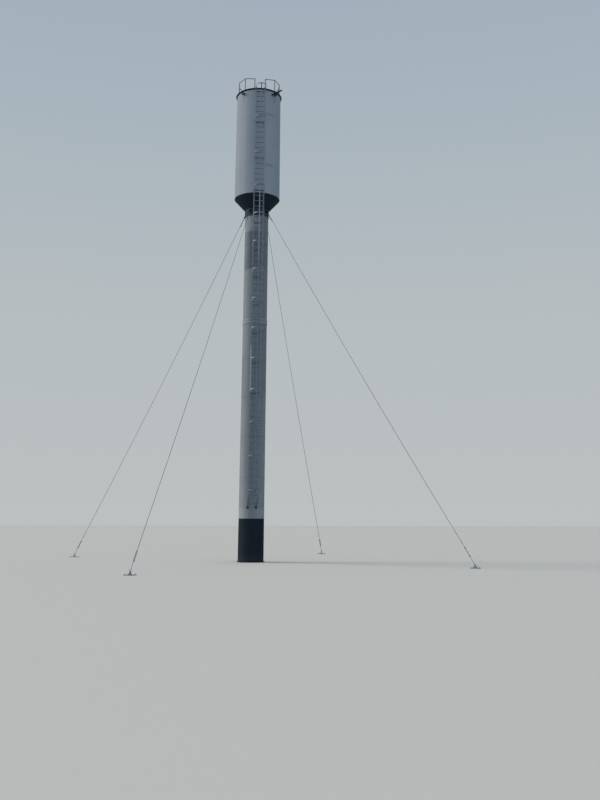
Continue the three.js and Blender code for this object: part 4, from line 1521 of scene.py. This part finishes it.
def buildAnchor(number, azimuth):
    # a level plate with four bolts, and an upright plate with the eye
    half, wall, ear, out = guy["anchorHalf"], guy["anchorWall"], guy["earHalf"], guy["anchorBoltOut"]
    front = [(-half, -half, wall / 2), (half, -half, wall / 2)]
    plate = flatBar(front, (0.0, 2 * half, 0.0), wall, guy["anchorChamfer"])
    low = wall - guy["earSunk"]
    outline = [(-ear, 0.0, low), (ear, 0.0, low)] + eyeArc(0.0, guy["anchorEye"], 0.0, 180.0)
    parts = [plate, eyePlate(outline, 0.0, guy["anchorEye"])]
    for bead, y in zip(plateWelds((-ear, wall), (ear, wall)), (-out, out)):
        parts.append(bead)
        for x in (-out, out):
            parts += anchorNut((x, y, wall), guy["anchorBolt"])
    spot = polar(guy["anchorRadius"], azimuth)
    parts = [placed(part, azimuth, spot) for part in parts]
    onTower(f"guyAnchor{number}", f"guy_anchor_{number}", parts, zincSteel)


def hookRing(eye, along, azimuth):
    # a ring through an eye plate, pulled along the guy
    radius, reach, half = guy["ropeRadius"], guy["ringRadius"], guy["plate"] / 2
    plateNormal = Vector((-math.sin(azimuth), math.cos(azimuth), 0.0))
    across = (plateNormal - along * plateNormal.dot(along)).normalized()
    tilt = half * math.tan(math.asin(abs(plateNormal.dot(along))))
    bend = half * math.tan(math.pi / guy["ringSegments"])
    seat = guy["eye"] - radius - tilt - bend - 3 * guy["gap"]
    centre = eye + along * (seat + reach)
    deselectAll()
    bpy.ops.mesh.primitive_torus_add(major_radius=reach, minor_radius=radius,
                                     major_segments=guy["ringSteps"], minor_segments=guy["ringSides"])
    ring = aimed(bpy.context.active_object, along.cross(across), centre)
    return ring, centre + along * (reach - guy["overlap"] / 2)


def saggingPoint(start, end, share):
    point = start.lerp(end, share)
    point.z -= 4 * guy["sag"] * share * (1 - share)
    return point


def laidRope(points):
    # strands laid round the rope's line, by a lobed section that turns along it
    section = bpy.data.curves.new("ropeSection", "CURVE")
    section.dimensions = "2D"
    lobes = section.splines.new("POLY")
    count, radius = guy["lobes"] * 3, guy["ropeRadius"]
    lobes.points.add(count - 1)
    for i, spot in enumerate(lobes.points):
        reach = radius if i % 3 else radius * guy["valley"]
        angle = 2 * math.pi * i / count
        spot.co = (reach * math.cos(angle), reach * math.sin(angle), 0.0, 1.0)
    lobes.use_cyclic_u = True
    sectionObject = bpy.data.objects.new("ropeSection", section)
    bpy.context.scene.collection.objects.link(sectionObject)
    rope, line = emptyCurve(len(points))
    run = 0.0
    for i, (spot, point) in enumerate(zip(line.points, points)):
        run += (point - points[i - 1]).length if i else 0.0
        spot.co = (*point, 1.0)
        spot.tilt = 2 * math.pi * run / guy["lay"]
    rope.data.bevel_mode = "OBJECT"
    rope.data.bevel_object = sectionObject
    rope.data.use_fill_caps = True
    bpy.ops.object.convert(target="MESH")
    rope = settled()
    bpy.data.objects.remove(sectionObject)
    return rope


def buildGuy(number, lugAzimuth, anchorAzimuth):
    # rope with its ring, tail and clips, then the tensioner with the other ring
    topEye = polar(guy["lugReach"], lugAzimuth, guy["lugHeight"])
    lowEye = polar(guy["anchorRadius"], anchorAzimuth, guy["anchorEye"])
    down = (lowEye - topEye).normalized()
    topRing, ropeStart = hookRing(topEye, down, lugAzimuth)
    lowRing, screwStart = hookRing(lowEye, -down, anchorAzimuth)
    ropeEnd = screwStart - down * (tensioner["length"] + guy["gap"])
    length = (ropeEnd - ropeStart).length
    steps = int(length / guy["lay"] * guy["stepsPerLay"])
    level = Vector(upward).cross(down).normalized()
    beside = level.cross(down) * guy["ropeRadius"]
    line = [saggingPoint(ropeStart, ropeEnd, i / steps) for i in range(steps + 1)]
    tail = [point + beside * 2.0 for point in line[:guy["tailPoints"]]]
    parts = [painted(part, ropeSteel) for part in (topRing, laidRope(line), laidRope(tail))]
    for distance in guy["clipsAt"]:
        spot = saggingPoint(ropeStart, ropeEnd, distance / length) + beside
        parts += [painted(part, zincSteel) for part in ropeClip(spot, level, level.cross(down))]
    onTower(f"guyRope{number}", f"guy_rope_{number}", parts)
    buildTensioner(number, lowRing, screwStart, -down)


# a clip's sizes, each a multiple of the rope's radius
clip = {
    "bow": 1.5,
    "bowBehind": 1.2,
    "leg": 4.2,
    "bar": 0.42,
    "saddle": 2.6,
    "saddleOut": 3.0,
    "nut": 0.95,
    "nutHeight": 0.8,
    "nutOut": 4.4,
}


def ropeClip(spot, level, beside):
    # a U bolt over both runs, its saddle and two nuts
    r = guy["ropeRadius"]
    bow, behind, leg = clip["bow"] * r, clip["bowBehind"] * r, beside * (clip["leg"] * r)
    bolt = [spot + level * (bow * math.cos(turn)) - beside * (behind + bow * math.sin(turn))
            for turn in [math.pi * i / 8 for i in range(9)]]
    bolt = [bolt[0] + leg] + bolt + [bolt[-1] + leg]
    saddle = turnedPart(discProfile(clip["saddle"] * r, -r, r), 12, beside,
                        spot + beside * clip["saddleOut"] * r)
    nuts = [hexHead(r * clip["nut"], r * clip["nutHeight"],
                    spot + level * (side * clip["bow"] * r) + beside * clip["nutOut"] * r, beside)
            for side in (-1, 1)]
    return [roundBar(bolt, r * clip["bar"]), saddle] + nuts


def buildTensioner(number, ring, start, up):
    # a screw rod through both nuts of an open body, with a lock nut outside each
    level = Vector(upward).cross(up).normalized()
    screw, nutLength, end = tensioner["screw"], tensioner["nutLength"], tensioner["length"]
    head = screw * tensioner["head"]
    thread = threadProfile(screw * tensioner["core"], screw, tensioner["threadStart"], tensioner["threadEnd"],
                           tensioner["pitch"])
    profile = [(0.0, -guy["overlap"]), (screw, -guy["overlap"]), (screw, tensioner["threadStart"])]
    profile += thread[1:-1] + [(screw, tensioner["threadEnd"]), (head, tensioner["headStart"]),
                               (head, end - tensioner["headEdge"]), (screw, end), (0.0, end)]
    parts = [ring, turnedPart(profile, tensioner["sides"], up, start)]
    middles = (tensioner["bodyStart"] + nutLength / 2, tensioner["bodyEnd"] - nutLength / 2)
    for middle, sign in zip(middles, (-1, 1)):
        lock = middle + sign * (nutLength / 2 + tensioner["lockGap"])
        parts.append(hexHead(tensioner["nut"], nutLength, start + up * middle, up))
        parts.append(hexHead(screw * tensioner["lockNut"], tensioner["lockLength"], start + up * lock, up))
    for side in (-1, 1):
        shift = level * (side * tensioner["sideOffset"])
        bar = [start + up * middle + shift for middle in middles]
        parts.append(roundBar(bar, tensioner["sideBar"], tensioner["sides"]))
    onTower(f"guyTurnbuckle{number}", f"guy_turnbuckle_{number}", parts, zincSteel)


for i, (lugDegrees, anchorDegrees) in enumerate(zip(guy["lugAzimuths"], guy["anchorAzimuths"])):
    lugAzimuth, anchorAzimuth = math.radians(lugDegrees), math.radians(anchorDegrees)
    buildLug(i + 1, lugAzimuth)
    buildGuy(i + 1, lugAzimuth, anchorAzimuth)
    buildAnchor(i + 1, anchorAzimuth)
print("guys built")

# floor and light

studio = {
    "backdropStops": [
        (0.0, (0.50, 0.53, 0.53)),
        (0.22, (0.47, 0.51, 0.53)),
        (0.36, (0.42, 0.48, 0.52)),
        (0.62, (0.34, 0.42, 0.50)),
    ],
    "ambientColour": (0.59, 0.77, 1.0),
    "ambient": 0.490,
    "keyColour": (1.0, 0.96, 0.87),
    "keyStrength": 1.65,
    "keyAngle": 34.0,
    "keyLift": 24.0,
    "keyHeading": 164.0,
    "floorSize": 400.0,
    "floorHeight": -0.003,
    "floorTones": ((0.50, 0.50, 0.49), (0.56, 0.56, 0.55)),
    "floorBounce": (0.95, 0.84, 0.70),
}

deselectAll()
bpy.ops.mesh.primitive_plane_add(size=studio["floorSize"], location=(0.0, 0.0, studio["floorHeight"]))
floor = bpy.context.active_object
floor.name = "studioFloor"
floorRecipe = Recipe(bpy.data.materials.new("studioFloorPaint"))
seen = floorRecipe.node("ShaderNodeLightPath", {}, {}, "Is Camera Ray")
floorTone = floorRecipe.mixed(floorRecipe.noise(0.4), *studio["floorTones"])
floorTone = floorRecipe.mixed(seen, floorTone, studio["floorBounce"])
floorRoughness = floorRecipe.noise(3.0) * 0.1 + 0.8
painted(floor, floorRecipe.finished(floorTone, floorRoughness, floorRecipe.noise(30.0), 0.001))

world = bpy.data.worlds.new("paleStudio")
bpy.context.scene.world = world
backdrop = Recipe(world, "Generated")
backdropTone = backdrop.node("ShaderNodeValToRGB", {"stops": studio["backdropStops"]}, {"Fac": backdrop.z})
behind = backdrop.nodes["Background"]
backdrop.links.new(backdropTone.socket, behind.inputs["Color"])
ambient = {"Color": (*studio["ambientColour"], 1.0), "Strength": studio["ambient"]}
light = backdrop.node("ShaderNodeBackground", {}, ambient)
seen = backdrop.node("ShaderNodeLightPath", {}, {}, "Is Camera Ray")
blend = backdrop.node("ShaderNodeMixShader", {}, {0: seen, 1: light, 2: Wire(backdrop, behind.outputs[0])})
backdrop.links.new(blend.socket, backdrop.nodes["World Output"].inputs["Surface"])

keyData = bpy.data.lights.new("softKey", "SUN")
keyData.color = studio["keyColour"]
keyData.energy = studio["keyStrength"]
keyData.angle = math.radians(studio["keyAngle"])
key = bpy.data.objects.new("softKey", keyData)
lift, heading = math.radians(studio["keyLift"]), math.radians(studio["keyHeading"])
fromKey = Vector((-math.cos(lift) * math.cos(heading), -math.cos(lift) * math.sin(heading), -math.sin(lift)))
key.rotation_euler = fromKey.to_track_quat("-Z", "Y").to_euler()
bpy.context.scene.collection.objects.link(key)
bpy.context.scene.view_settings.view_transform = "Standard"
print("studio lit")
